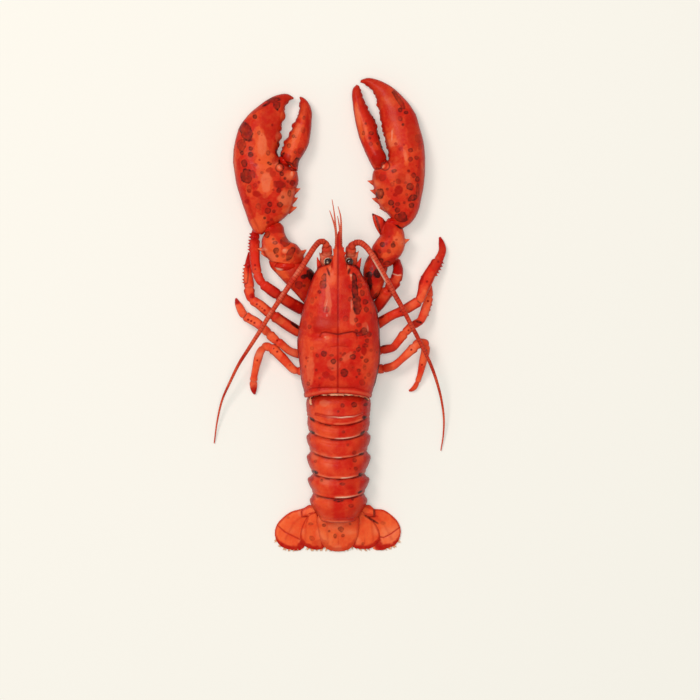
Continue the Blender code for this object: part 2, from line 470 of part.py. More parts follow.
# Mouth legs under the head, left one first and the right one mirrored
MOUTH_LEG_PATH = [
    (-4.6, 31.0, 9.6, 5.6, 7.0), (-4.9, 38.0, 9.2, 6.4, 8.0), (-5.2, 47.0, 9.6, 6.4, 8.0),
    (-5.2, 55.0, 11.4, 6.0, 7.2), (-4.8, 60.6, 13.8, 5.2, 5.8), (-4.2, 63.8, 15.8, 3.6, 3.8),
    (-3.8, 65.4, 16.6, 1.6, 1.8),
]

# Swimmerets under the tail: ring number, y of the root
SWIMMERET_ROOTS = {1: -46.0, 2: -63.0, 3: -76.0, 4: -90.5, 5: -105.5}
SWIMMERET_LENGTH = 12.0
SWIMMERET_WIDTH = 8.0


def clear_scene():
    for old in list(bpy.data.objects):
        bpy.data.objects.remove(old, do_unlink=True)


def shell_material(name, colour, roughness):
    material = bpy.data.materials.new(name)
    material.use_nodes = True
    shader = material.node_tree.nodes["Principled BSDF"]
    shader.inputs["Base Color"].default_value = (*colour, 1.0)
    shader.inputs["Roughness"].default_value = roughness
    return material


def stations(rows, count):
    """Rows at even steps along a smooth curve through the given rows."""
    rows = np.array(rows, dtype=float)
    steps = np.linalg.norm(np.diff(rows[:, :3], axis=0), axis=1)
    place = np.concatenate([[0.0], np.cumsum(steps)])
    place /= place[-1]
    slopes = np.gradient(rows, place, axis=0)
    found = []
    for t in np.linspace(0.0, 1.0, count):
        k = min(int(np.searchsorted(place, t, side="right")) - 1, len(rows) - 2)
        span = place[k + 1] - place[k]
        s = (t - place[k]) / span
        found.append(
            (2 * s**3 - 3 * s**2 + 1) * rows[k]
            + (s**3 - 2 * s**2 + s) * span * slopes[k]
            + (3 * s**2 - 2 * s**3) * rows[k + 1]
            + (s**3 - s**2) * span * slopes[k + 1]
        )
    return np.array(found)


def oval(sides, power):
    """Points of a rounded section, from -1 to 1 in both directions."""
    turn = np.arange(sides) * 2 * math.pi / sides
    across = np.sign(np.cos(turn)) * np.abs(np.cos(turn)) ** (2 / power)
    up = np.sign(np.sin(turn)) * np.abs(np.sin(turn)) ** (2 / power)
    return across, up


def solid(name, rings, caps=None):
    """One closed body through the rings, each end closed on a middle point."""
    rings = [np.array(ring, dtype=float) for ring in rings]
    for ring in rings:
        ring[:, 2] = np.maximum(ring[:, 2], 0.0)
    form = bmesh.new()
    rows = [[form.verts.new(point * MM) for point in ring] for ring in rings]
    sides = len(rows[0])
    for near, far in zip(rows, rows[1:]):
        for k in range(sides):
            j = (k + 1) % sides
            form.faces.new((near[k], near[j], far[j], far[k]))
    caps = caps or (rings[0].mean(axis=0), rings[-1].mean(axis=0))
    for row, cap in zip((rows[0], rows[-1]), caps):
        middle = form.verts.new(np.array(cap) * MM)
        for k in range(sides):
            form.faces.new((row[k], row[(k + 1) % sides], middle))
    bmesh.ops.recalc_face_normals(form, faces=form.faces)
    if form.calc_volume(signed=True) < 0:
        bmesh.ops.reverse_faces(form, faces=form.faces)
    mesh = bpy.data.meshes.new(name)
    form.to_mesh(mesh)
    form.free()
    body = bpy.data.objects.new(name, mesh)
    bpy.context.scene.collection.objects.link(body)
    return body


def rib_body(name, rows, count, sides, power=2.2):
    """A body given by two edge points, a middle height and a thickness at each row."""
    across, up = oval(sides, power)
    rings = []
    for x1, y1, x2, y2, height, thick in stations(rows, count):
        middle = np.array([(x1 + x2) / 2, (y1 + y2) / 2, height])
        half = np.array([(x2 - x1) / 2, (y2 - y1) / 2, 0.0])
        rise = np.array([0.0, 0.0, max(thick, 0.6) / 2])
        rings.append(middle + np.outer(across, half) + np.outer(up, rise))
    return solid(name, rings)


def path_body(name, rows, count, sides, power=2.2):
    """A body that follows a line, given its width and thickness at each point."""
    across, up = oval(sides, power)
    rows = stations(rows, count)
    heading = np.gradient(rows[:, :3], axis=0)
    rings = []
    for (x, y, height, wide, thick), along in zip(rows, heading):
        along = along / np.linalg.norm(along)
        side = np.cross(along, (0.0, 0.0, 1.0))
        side /= np.linalg.norm(side)
        over = np.cross(side, along)
        middle = np.array([x, y, height])
        rings.append(middle + np.outer(across, side) * wide / 2 + np.outer(up, over) * thick / 2)
    return solid(name, rings)


def arch_body(name, rows, count, section, belly, caps_at, floor_reach=12.0):
    """A vaulted body: rows are y, side lead, left x, right x, top and foot of the vault."""
    half_section = np.array(section)
    outline = np.vstack([half_section, half_section[-2::-1] * (-1.0, 1.0)])
    floor = np.linspace(-1.0, 1.0, 5)
    rings = []
    for y, lead, left, right, top, foot in stations(rows, count):
        middle = (left + right) / 2
        half = (right - left) / 2
        base = max(belly, foot)
        ring = [(middle + half * a, foot + (top - foot) * rise) for a, rise in outline]
        reach = min(floor_reach, 0.8 * half)
        ring += [(middle + reach * a, base) for a in floor]
        rings.append([(x, y + lead * min(abs(x) / BOW_REACH, 1.0) ** 2.2, z) for x, z in ring])
    return solid(name, rings, [(0.0, rows[0][0], caps_at[0]), (0.0, rows[-1][0], caps_at[1])])


def spike(name, base, tip, radius, sides=6):
    """A pointed thorn whose root stands inside the body that it grows from."""
    form = bmesh.new()
    root = Vector(base)
    way = Vector(tip) - root
    turn = way.to_track_quat("Z", "Y").to_matrix().to_4x4()
    bmesh.ops.create_cone(
        form,
        cap_ends=True,
        segments=sides,
        radius1=radius * MM,
        radius2=radius * 0.08 * MM,
        depth=way.length * MM,
        matrix=Matrix.Translation((root + way / 2) * MM) @ turn,
    )
    mesh = bpy.data.meshes.new(name)
    form.to_mesh(mesh)
    form.free()
    body = bpy.data.objects.new(name, mesh)
    bpy.context.scene.collection.objects.link(body)
    return body


def lump(name, centre, radii, around=8, up=5):
    """A rounded knob."""
    form = bmesh.new()
    place = Matrix.Translation(Vector(centre) * MM) @ Matrix.Diagonal((*(Vector(radii) * MM), 1.0))
    bmesh.ops.create_uvsphere(form, u_segments=around, v_segments=up, radius=1.0, matrix=place)
    mesh = bpy.data.meshes.new(name)
    form.to_mesh(mesh)
    form.free()
    body = bpy.data.objects.new(name, mesh)
    bpy.context.scene.collection.objects.link(body)
    return body


def settle(body):
    """Applies the modifiers of a body and keeps its largest piece."""
    graph = bpy.context.evaluated_depsgraph_get()
    old = body.data
    mesh = bpy.data.meshes.new_from_object(body.evaluated_get(graph))
    body.modifiers.clear()
    body.data = mesh
    bpy.data.meshes.remove(old)
    form = bmesh.new()
    form.from_mesh(mesh)
    left = set(form.faces)
    pieces = []
    while left:
        piece = [left.pop()]
        for face in piece:
            for edge in face.edges:
                for beside in edge.link_faces:
                    if beside in left:
                        left.remove(beside)
                        piece.append(beside)
        pieces.append(piece)
    pieces.sort(key=len)
    for piece in pieces[:-1]:
        bmesh.ops.delete(form, geom=piece, context="FACES")
    form.to_mesh(mesh)
    form.free()


def fuse(body, extras):
    """Joins small parts to a body as one solid."""
    group = bpy.data.collections.new(body.name + "_extras")
    for extra in extras:
        bpy.context.scene.collection.objects.unlink(extra)
        group.objects.link(extra)
    bpy.context.scene.collection.children.link(group)
    join = body.modifiers.new("join", "BOOLEAN")
    join.operation = "UNION"
    join.solver = "EXACT"
    join.operand_type = "COLLECTION"
    join.collection = group
    bpy.context.view_layer.update()
    settle(body)
    for extra in extras:
        bpy.data.objects.remove(extra, do_unlink=True)
    bpy.data.collections.remove(group)


def clear_of(body, others, gap=GAP):
    """Cuts a body back so that a thin gap is left to each of the others."""
    for other in others:
        cutter = other.copy()
        cutter.data = other.data.copy()
        bpy.context.scene.collection.objects.link(cutter)
        cutter.hide_render = True
        cutter.display_type = "WIRE"
        form = bmesh.new()
        form.from_mesh(cutter.data)
        bmesh.ops.triangulate(form, faces=form.faces)
        form.normal_update()
        moves = [v.normal * min(v.calc_shell_factor(), 2.0) * gap * MM for v in form.verts]
        for vert, move in zip(form.verts, moves):
            vert.co += move
        form.to_mesh(cutter.data)
        form.free()
        cut = body.modifiers.new("clear", "BOOLEAN")
        cut.operation = "DIFFERENCE"
        cut.solver = "EXACT"
        cut.use_self = True
        cut.object = cutter
        bpy.context.view_layer.update()
        settle(body)
        bpy.data.objects.remove(cutter, do_unlink=True)


def finish(body, material):
    body.data.materials.clear()
    body.data.materials.append(material)
    for face in body.data.polygons:
        face.material_index = 0
        face.use_smooth = True
    body.data.set_sharp_from_angle(angle=SMOOTH_ANGLE)


clear_scene()

shell_red = shell_material("cooked_shell_red", (0.55, 0.055, 0.025), 0.34)
shell_deep = shell_material("cooked_shell_deep_red", (0.42, 0.028, 0.016), 0.32)
shell_orange = shell_material("cooked_shell_orange", (0.72, 0.135, 0.045), 0.36)
thin_shell = shell_material("thin_shell_pale_orange", (0.70, 0.20, 0.09), 0.42)
whip_red = shell_material("ringed_whip_red", (0.60, 0.075, 0.035), 0.40)
eye_dark = shell_material("eye_brown_black", (0.012, 0.008, 0.007), 0.12)

nodes = {}

# Carapace with its rostrum and spines
nodes["carapace"] = arch_body(
    "carapace",
    [
        (y, CARAPACE_REAR_BOW * max(0.0, (-30.0 - y) / 6.3), left, right, top, foot)
        for y, left, right, top, foot in CARAPACE_ROWS
    ],
    20,
    CARAPACE_SECTION,
    CARAPACE_EDGE,
    (37.0, RING_MIDDLE),
)
head_parts = [rib_body("rostrum", ROSTRUM_ROWS, 8, 8)]
for count, (base, tip, radius) in enumerate(HEAD_SPINES):
    head_parts.append(spike(f"head_spine_{count}", base, tip, radius))
fuse(nodes["carapace"], head_parts)

# Underside of the thorax, flat on the ground
thorax_rows = [
    (-6.0, 41.0, 6.0, 41.0, 5.6, 8.0),
    (-THORAX_HALF_WIDTH + 4, 34.0, THORAX_HALF_WIDTH - 4, 34.0, 4.9, 10.2),
    (-THORAX_HALF_WIDTH, 24.0, THORAX_HALF_WIDTH, 24.0, 4.8, 10.8),
    (-THORAX_HALF_WIDTH, 0.0, THORAX_HALF_WIDTH, 0.0, 4.8, 10.8),
    (-THORAX_HALF_WIDTH, -24.0, THORAX_HALF_WIDTH, -24.0, 4.8, 10.8),
    (-THORAX_HALF_WIDTH + 3, -34.0, THORAX_HALF_WIDTH - 3, -34.0, 5.0, 9.6),
]
nodes["thorax_underside"] = rib_body("thorax_underside", thorax_rows, 8, 12, 4.0)

# Six rings of the tail and the telson
for name, rows in TAIL_RINGS.items():
    vault = [(y, lead, -half, half, top, foot) for y, lead, half, top, foot in rows]
    nodes[name] = arch_body(name, vault, 6, TAIL_SECTION, TAIL_BELLY, (RING_MIDDLE, RING_MIDDLE))
nodes["telson"] = rib_body("telson", TELSON_ROWS, 9, 12, 2.4)

# Four blades of the tail fan
for name, rows in TAIL_BLADES.items():
    nodes[name] = rib_body(name, rows, 10, 10, 2.2)
for name, (centre, radii) in BLADE_KNUCKLES.items():
    fuse(nodes[name], [lump(name + "_knuckle", centre, radii)])

# Claws, each with a fixed finger, a moving finger, a wrist and an arm
for name, rows, count, sides in (
    ("crusher_palm", CRUSHER_PALM_ROWS, 18, 14),
    ("crusher_finger", CRUSHER_FINGER_ROWS, 11, 10),
    ("crusher_wrist", CRUSHER_WRIST_ROWS, 8, 12),
    ("crusher_arm", CRUSHER_ARM_ROWS, 7, 10),
    ("cutter_palm", CUTTER_PALM_ROWS, 18, 14),
    ("cutter_finger", CUTTER_FINGER_ROWS, 11, 10),
    ("cutter_wrist", CUTTER_WRIST_ROWS, 9, 12),
    ("cutter_arm", CUTTER_ARM_ROWS, 7, 10),
):
    nodes[name] = rib_body(name, rows, count, sides)
    extras = [
        spike(f"{name}_spine_{k}", base, tip, radius)
        for k, (base, tip, radius) in enumerate(CLAW_SPINES.get(name, []))
    ]
    extras += [
        lump(f"{name}_tooth_{k}", centre, radii, 7, 4)
        for k, (centre, radii) in enumerate(CLAW_TEETH.get(name, []))
    ]
    if name == "cutter_wrist":
        extras.append(rib_body("cutter_spur", CUTTER_SPUR_ROWS, 6, 8))
    if extras:
        fuse(nodes[name], extras)

# Walking legs
for name, rows in LEG_PATHS.items():
    nodes[name] = path_body(name, rows, 16, 8)

# Feelers, eyes and mouth legs
for name, rows in FEELER_BASES.items():
    nodes[name] = path_body(name, rows, 7, 8)
    base, tip, radius = FEELER_BASE_THORNS[name]
    fuse(nodes[name], [spike(name + "_thorn", base, tip, radius)])
for name, rows in FEELER_PATHS.items():
    nodes[name] = path_body(name, rows, 22, 6, 2.0)
for name, (stalk, first, second) in SMALL_FEELERS.items():
    nodes[name] = path_body(name, stalk, 4, 7)
    whips = [path_body(name + "_first", first, 6, 5), path_body(name + "_second", second, 6, 5)]
    fuse(nodes[name], whips)
for name, rows in EYE_PATHS.items():
    nodes[name] = path_body(name, rows, 7, 8)
for side, sign in (("left", 1.0), ("right", -1.0)):
    name = "mouth_leg_" + side
    rows = [(sign * x, y, height, wide, thick) for x, y, height, wide, thick in MOUTH_LEG_PATH]
    nodes[name] = path_body(name, rows, 7, 7)

# Swimmerets
for ring, y in SWIMMERET_ROOTS.items():
    for side, sign in (("left", -1.0), ("right", 1.0)):
        name = f"swimmeret_{side}_{ring}"
        half = SWIMMERET_WIDTH / 2
        leaf = [
            (sign * 5.5, y + 1.0, sign * 9.0, y + 1.0, 5.6, 1.8),
            (sign * (9.0 - half), y - 3.5, sign * (9.5 + half), y - 3.0, 4.6, 2.0),
            (sign * (10.0 - half), y - 8.0, sign * (10.5 + half), y - 7.6, 3.2, 1.8),
            (sign * 9.2, y - SWIMMERET_LENGTH, sign * 12.0, y - SWIMMERET_LENGTH, 1.8, 1.0),
        ]
        nodes[name] = rib_body(name, leaf, 5, 6)

# Thin gaps where the pieces meet
CLEARANCES = {
    "eye_left": ["carapace"],
    "eye_right": ["carapace"],
    "small_feeler_left": ["carapace"],
    "small_feeler_right": ["carapace"],
    "thorax_underside": list(LEG_PATHS),
    "crusher_palm": ["crusher_finger", "crusher_wrist", "leg_left_1"],
    "cutter_palm": ["cutter_finger", "cutter_wrist"],
    "crusher_arm": ["crusher_wrist", "carapace", "thorax_underside", "mouth_leg_left"],
    "cutter_arm": ["cutter_wrist", "carapace", "thorax_underside", "mouth_leg_right"],
    "mouth_leg_left": ["thorax_underside"],
    "mouth_leg_right": ["thorax_underside"],
    "feeler_base_left": ["carapace", "crusher_arm"],
    "feeler_base_right": ["carapace", "cutter_arm"],
    "feeler_left": ["feeler_base_left"],
    "feeler_right": ["feeler_base_right"],
    "telson": ["abdomen_6"],
    "uropod_inner_left": ["abdomen_6", "telson"],
    "uropod_inner_right": ["abdomen_6", "telson"],
    "uropod_outer_left": ["abdomen_6", "telson", "uropod_inner_left"],
    "uropod_outer_right": ["abdomen_6", "telson", "uropod_inner_right"],
    "leg_left_1": ["crusher_arm", "crusher_wrist"],
    "leg_right_1": ["cutter_arm", "cutter_wrist"],
}
for name, others in CLEARANCES.items():
    clear_of(nodes[name], [nodes[other] for other in others])

MATERIALS = {
    "eye": eye_dark,
    "feeler": whip_red,
    "small": whip_red,
    "telson": shell_orange,
    "uropod": shell_orange,
    "swimmeret": thin_shell,
    "thorax": thin_shell,
    "mouth": shell_orange,
    "leg": shell_deep,
}
for name, body in nodes.items():
    finish(body, MATERIALS.get(name.split("_")[0], shell_red))
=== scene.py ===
import math

import bpy
import numpy as np
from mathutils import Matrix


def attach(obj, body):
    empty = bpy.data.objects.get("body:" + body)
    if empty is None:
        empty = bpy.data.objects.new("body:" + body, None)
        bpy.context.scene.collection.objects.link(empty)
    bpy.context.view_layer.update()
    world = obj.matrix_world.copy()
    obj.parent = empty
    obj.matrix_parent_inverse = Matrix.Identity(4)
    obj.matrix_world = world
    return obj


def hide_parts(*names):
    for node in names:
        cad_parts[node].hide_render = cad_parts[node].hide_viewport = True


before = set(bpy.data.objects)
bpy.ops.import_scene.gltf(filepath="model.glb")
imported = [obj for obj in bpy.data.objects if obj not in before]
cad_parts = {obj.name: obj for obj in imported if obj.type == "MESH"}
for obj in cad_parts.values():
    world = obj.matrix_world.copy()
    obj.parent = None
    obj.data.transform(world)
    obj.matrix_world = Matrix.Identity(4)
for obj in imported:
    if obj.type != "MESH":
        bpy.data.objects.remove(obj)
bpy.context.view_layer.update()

scene = bpy.context.scene
scene.view_settings.view_transform = "Standard"

# Camera, straight above the lobster with its claws at the top of the picture.
# A long lens keeps the claws and the tail at one scale, as a copy stand does.
PICTURE_WIDTH = 0.525
PICTURE_MIDDLE = (0.0086, -0.0038)
MIDDLE_HEIGHT = 0.018
LENS = 300.0
SENSOR = 36.0

camera_data = bpy.data.cameras.new("camera_above")
camera_data.lens = LENS
camera_data.sensor_width = SENSOR
camera_data.clip_end = 30.0
camera = bpy.data.objects.new("camera_above", camera_data)
camera.location = (*PICTURE_MIDDLE, MIDDLE_HEIGHT + PICTURE_WIDTH * LENS / SENSOR)
scene.collection.objects.link(camera)
scene.camera = camera

# Ground and light: a pale warm sheet on a light table that glows faintly, one broad soft lamp
# at the upper left, a wide softbox overhead and a weak even sky, so that the shadows to the
# lower right stay faint and neutral.
MM = 0.001


def hex_colour(text):
    """An sRGB hex colour as the linear red, green, blue and alpha of a socket."""
    values = [int(text[k : k + 2], 16) / 255 for k in (0, 2, 4)]
    return (*[v / 12.92 if v < 0.04045 else ((v + 0.055) / 1.055) ** 2.4 for v in values], 1.0)


def add(tree, kind, links=None, **settings):
    """A shader node with its settings; each link is a value or another node's socket."""
    made = tree.nodes.new(kind)
    for name, value in settings.items():
        setattr(made, name, value)
    for name, value in (links or {}).items():
        socket = made.inputs[name]
        if isinstance(value, bpy.types.NodeSocket):
            tree.links.new(value, socket)
        else:
            socket.default_value = value
    return made


def new_material(name, finish):
    """A material with its tree and shader; finish holds the shader's even values."""
    material = bpy.data.materials.new(name)
    material.use_nodes = True
    shader = material.node_tree.nodes["Principled BSDF"]
    for socket, value in finish.items():
        shader.inputs[socket].default_value = value
    return material, material.node_tree, shader


def new_piece(name, points, faces):
    """An object made of points in metres and faces."""
    mesh = bpy.data.meshes.new(name)
    mesh.from_pydata(points, [], faces)
    piece = bpy.data.objects.new(name, mesh)
    scene.collection.objects.link(piece)
    return piece


GROUND_REACH = 3.0
GROUND_DROP = 0.0004
ground = new_piece(
    "ground_sheet",
    [(GROUND_REACH * x, GROUND_REACH * y, 0.0) for x, y in ((-1, -1), (1, -1), (1, 1), (-1, 1))],
    [(0, 1, 2, 3)],
)
ground.location.z = -GROUND_DROP
# Uncoated paper: quite matt, with a fine grain about 1 mm wide
paper, paper_tree, paper_shader = new_material(
    "glowing_pale_paper",
    {
        "Base Color": hex_colour("e6d4c9"), "Emission Color": hex_colour("658686"),
        "Emission Strength": 1.0, "Roughness": 0.9, "Specular IOR Level": 0.1,
    },
)
paper_grain = add(paper_tree, "ShaderNodeTexNoise", {"Scale": 900.0, "Detail": 4.0})
paper_bump = add(
    paper_tree,
    "ShaderNodeBump",
    {"Height": paper_grain.outputs["Fac"], "Strength": 0.05, "Distance": 0.0002},
)
paper_tree.links.new(paper_bump.outputs["Normal"], paper_shader.inputs["Normal"])
ground.data.materials.append(paper)

sky = bpy.data.worlds.new("even_sky")
sky.use_nodes = True
sky.node_tree.nodes["Background"].inputs["Color"].default_value = hex_colour("fffdf8")
sky.node_tree.nodes["Background"].inputs["Strength"].default_value = 0.36
scene.world = sky

lamp_data = bpy.data.lights.new("lamp_upper_left", "AREA")
lamp_data.size = 0.75
lamp_data.energy = 24.0
lamp = bpy.data.objects.new("lamp_upper_left", lamp_data)
lamp.location = (-0.85, 0.80, 2.30)
lamp.rotation_euler = lamp.location.to_track_quat("Z", "Y").to_euler()
scene.collection.objects.link(lamp)
softbox_data = bpy.data.lights.new("softbox_overhead", "AREA")
softbox_data.size = 2.6
softbox_data.energy = 138.0
softbox_data.color = (1.0, 0.994, 0.975)
softbox = bpy.data.objects.new("softbox_overhead", softbox_data)
softbox.location = (0.0, 0.0, 6.0)
softbox.visible_glossy = False
scene.collection.objects.link(softbox)

# Carapace: the one-piece back shell of a boiled lobster, pinched into a long thorny rostrum.
# It is hard limy shell, boiled from blue-black to red, with a groove across the neck,
# a fine line down the middle and a soft tan seam where it meets the tail.
CARAPACE_TOP = 49.0
CARAPACE_EDGE = 10.6
CARAPACE_REAR_BOW = -3.3
BOW_REACH = 24.0
CARAPACE_SECTION = [
    (0.70, 0), (0.87, 0.11), (0.97, 0.27), (1, 0.43), (0.965, 0.62), (0.85, 0.80), (0.62, 0.935),
    (0.32, 0.99), (0, 1),
]
CARAPACE_ROWS = [
    (60, -9, 9, 41.4, 34),
    (59, -13.2, 12.8, 42.4, 31),
    (56.5, -16.4, 15.8, 43.4, 28),
    (52, -18.8, 18.2, 44.6, 25.5),
    (45, -21.6, 22.2, 46, 23.5),
    (37, -24, 25, 47.3, 21),
    (28, -27, 28.8, 48.3, 15.5),
    (19, -28.9, 30.2, CARAPACE_TOP, 11.6),
    (11, -29.9, 31, CARAPACE_TOP + 0.3, CARAPACE_EDGE),
    (8, -30.2, 31.1, CARAPACE_TOP - 0.9, CARAPACE_EDGE),
    (5, -30.9, 31.2, CARAPACE_TOP + 0.2, CARAPACE_EDGE),
    (-4, -30.8, 31.4, CARAPACE_TOP + 0.4, CARAPACE_EDGE),
    (-13, -29.6, 31, CARAPACE_TOP, CARAPACE_EDGE),
    (-22, -28.7, 29.3, CARAPACE_TOP - 1, CARAPACE_EDGE),
    (-30, -27.4, 27.4, CARAPACE_TOP - 2.4, CARAPACE_EDGE),
    (-32.6, -26.2, 26, CARAPACE_TOP - 4.2, CARAPACE_EDGE),
    (-34.4, -26.2, 25.6, CARAPACE_TOP - 3.6, CARAPACE_EDGE),
    (-36.3, -25.6, 24.6, CARAPACE_TOP - 4.4, CARAPACE_EDGE + 0.6),
]
ROSTRUM_ROWS = [
    (-9, 52, 9, 52, 41.5, 7),
    (-6, 60, 6.4, 60, 41.8, 6.4),
    (-4.2, 66.5, 4.4, 66.5, 42.2, 5.4),
    (-2.3, 73.5, 2.4, 73.5, 42.8, 4.2),
    (-1.7, 79.5, 1.8, 79.5, 43.6, 3),
    (-0.6, 85.2, 0.9, 85.2, 44.6, 1.4),
]
HEAD_SPINES = [
    ((-2.6, 68.5, 42.4), (-4.6, 73.2, 43.4), 1.3),
    ((2.8, 69, 42.4), (4.4, 74.2, 43.6), 1.3),
    ((3.6, 66, 42.2), (6.2, 70.6, 43.2), 1.2),
    ((-13.8, 57, 33.4), (-16.2, 66.4, 35), 2.5),
    ((13.8, 57, 33.4), (17.2, 65.8, 35), 2.5),
]
MIDDLE_LINE = [(-0.4, 84), (-0.4, 40), (-0.5, -36)]
NECK_GROOVE = [(-13.9, 6.4), (-12.6, 8.8), (-10, 9.4), (-0.4, 7.8), (10.6, 9.8), (13.6, 8.4), (14, 5.2)]
SIDE_GROOVE_LEFT = [(-24.5, 12), (-27, 20), (-27.6, 30)]
SIDE_GROOVE_RIGHT = [(-x, y) for x, y in SIDE_GROOVE_LEFT]
SMALL_GROOVE = [(-5.6, -1.4), (0.5, -0.8), (7.1, -1.4)]
REAR_GROOVE = [
    (-27, -36), (-25, -34.4), (-19, -32.4), (-9, -32), (12.4, -32.3), (24.4, -35.6), (27, -37),
]
# Colour areas: x, y, half width, half height, turn in degrees, strength
CARAPACE_STAINS = [
    (12, 48.4, 1.8, 5, 8, 1.2), (12.6, 40, 2.4, 6.2, 4, 1.2), (13.8, 30.4, 2.9, 7.8, 6, 1.2),
    (16, 44.3, 1.8, 1.8, 0, 0.7), (18, 38.6, 2, 2, 0, 0.7), (20.1, 32.1, 2.2, 1.8, 20, 0.8),
    (20.7, 26.4, 1.8, 2, 0, 0.8), (16.2, 27.2, 1.2, 1.2, 0, 0.7), (13.2, 18.6, 1.3, 1.6, 0, 0.7),
    (15.2, 15, 1.6, 1.5, 0, 0.6), (8.7, 34.1, 1.4, 1.6, 0, 0.5), (9.1, 43.5, 1.4, 1.3, 0, 0.5),
    (18.9, 10.9, 2.4, 1.9, 0, 0.9), (16.6, 8.1, 3.8, 1.5, 0, 0.9), (22.9, 8.1, 1.9, 1.9, 0, 0.8),
    (13.2, 10, 1.2, 1.2, 0, 0.7), (21.3, 3.2, 1.5, 1.4, 0, 0.7), (20.1, -0.5, 2.2, 1.3, 0, 0.6),
    (14.8, -3.3, 1.7, 1.5, 0, 0.8), (11.9, -5.4, 0.9, 0.9, 0, 0.7), (10.7, -8.8, 2.1, 1.8, -20, 0.9),
    (20.5, -11.6, 1.6, 1.4, 0, 0.9), (17.5, -9.3, 0.9, 0.8, 0, 0.7), (1.8, -10.9, 1.1, 1.1, 0, 0.8),
    (4.6, -6.3, 0.9, 0.9, 0, 0.7), (1.5, -6.3, 0.8, 0.8, 0, 0.6), (-10.7, -6.7, 1.9, 2, 0, 1),
    (-5, -7.8, 1.5, 0.9, 0, 0.7), (-3.7, -12.3, 1.9, 2, 0, 1), (4.5, -20.6, 2.5, 3, 0, 1),
    (15.4, -19.2, 1.3, 1.1, 0, 0.9), (15.6, -21.6, 0.7, 0.7, 0, 0.7), (13.6, -23.9, 0.7, 0.7, 0, 0.6),
    (17.8, -28.1, 2, 2, 0, 0.4), (-22.6, -28.9, 1.3, 1.4, 0, 0.7), (-16.5, -18.8, 1, 1, 0, 0.5),
    (-15.7, -8, 1.2, 1.2, 0, 0.6), (-21.8, 13.5, 1.3, 1.5, 0, 0.6), (-19.8, -2.5, 1.3, 1.1, 0, 0.4),
    (-14.3, 39.4, 1.2, 1.1, 0, 0.9), (-9.4, 26.4, 2.2, 2.1, 0, 0.5), (-10.7, 50.2, 1.8, 3, 0, 0.8),
    (-11.4, 45.4, 2.6, 3.2, 0, 0.8), (5.4, 19.5, 2.2, 1.8, 0, 0.4), (15.6, 50.8, 1.2, 1.2, 0, 0.5),
    (-7.4, 54.2, 0.5, 2.6, 18, 0.9), (7.9, 55, 0.7, 2, -14, 0.9), (-19.6, 33, 1.4, 2.4, 0, 0.3),
    (-20.4, 22.4, 1.2, 1.8, 0, 0.3), (24.4, -4, 1, 1, 0, 0.4), (-14.6, -32.6, 1, 1, 0, 0.4),
    (22.6, -22.4, 1.4, 1.3, 0, 0.4), (19.6, -16.6, 1.2, 1.8, 0, 0.4),
]
# Deep red areas; the two long ones down the right flank are painted shade on the side away from the lamp
CARAPACE_BLUSH = [
    (-4.8, 59.4, 0.5, 2.6, -6, 1), (-7.6, 54.6, 0.7, 3, 20, 1), (6, 58.6, 0.5, 2.4, 10, 1),
    (19.1, -4.5, 2, 3.4, 0, 1), (-9.2, -22.4, 2.9, 2.6, 0, 0.8), (-4.7, -24.5, 2.4, 2.1, 0, 0.8),
    (-14.3, -30.2, 1.1, 1.1, 0, 1), (-24.1, -9.8, 1, 1.1, 0, 0.9), (-13.3, 15, 8, 6, 10, 0.6),
    (-4.6, 18, 5, 5, 0, 0.5), (5.4, 33, 4, 16, 0, 0.35), (-25.6, 14.6, 1.6, 4, 0, 0.6),
    (9.4, -16.4, 2.6, 3.6, 0, 0.5), (3.2, 0.6, 2.6, 2, 0, 0.4), (-6.8, -17.6, 1.6, 1.4, 0, 0.5),
    (15.4, 47.9, 1.2, 1.3, 0, 0.8), (24, 40, 2, 12, 10, 0.5), (27, 8, 2.4, 14, 0, 0.45),
]
# Orange areas; the long one down the left flank is a painted highlight on the side towards the lamp
CARAPACE_GLOW = [
    (-23, -12, 4.6, 20, 0, 0.9), (-9.6, 51.6, 8.6, 7, 0, 0.9), (-17, 44, 4, 13, -14, 0.7),
    (17, 50, 3, 6, 10, 0.7), (23, -12, 5.4, 19, 0, 0.35), (-17.4, -1, 6, 5.6, 0, 0.6),
    (-1.8, 60, 2, 12, 0, 0.8), (-8.6, 5, 4, 2.6, 0, 0.5), (-6.4, 57.6, 1.5, 2.6, 0, 1),
    (7.2, 57.8, 1.3, 2.2, 0, 1),
]
# Pale areas: the patches under the eyes are pale shell, the long streaks left of the middle line and down the
# left flank are painted highlights
CARAPACE_PALE = [
    (-7.4, 34, 1.6, 12, 4, 0.6), (-21, -20, 2.6, 12, 0, 0.45), (10.6, 21, 2, 6, 0, 0.5),
    (20, 13, 2.6, 4.6, 10, 0.35), (6, -9, 5, 2.6, 35, 0.4), (-8.6, 5.4, 2, 1.6, 0, 0.6),
    (-4, -15, 5, 4.6, 0, 0.35), (-6, 50.6, 3.6, 4.6, 0, 0.4), (-6.4, 57.4, 1, 1.9, 0, 0.8),
    (7.2, 57.6, 0.9, 1.6, 0, 0.8), (9.6, 50.4, 0.9, 2.4, 0, 0.6), (10.4, 27, 1.2, 5, 0, 0.5),
    (-9.4, 31.6, 0.8, 4.4, -16, 0.6),
]
# Cream spots and streaks: painted highlights
CARAPACE_HIGHLIGHTS = [
    (9.3, 51.9, 0.8, 1, 20, 0.45), (-9.4, 28.6, 0.4, 4.6, -14, 0.3), (-8.6, 22, 0.7, 1.1, 0, 0.25),
    (-10, 6, 0.8, 0.6, 0, 0.3), (22, 12, 0.8, 2.6, 10, 0.2), (9.6, 30, 0.5, 4, 0, 0.25),
]


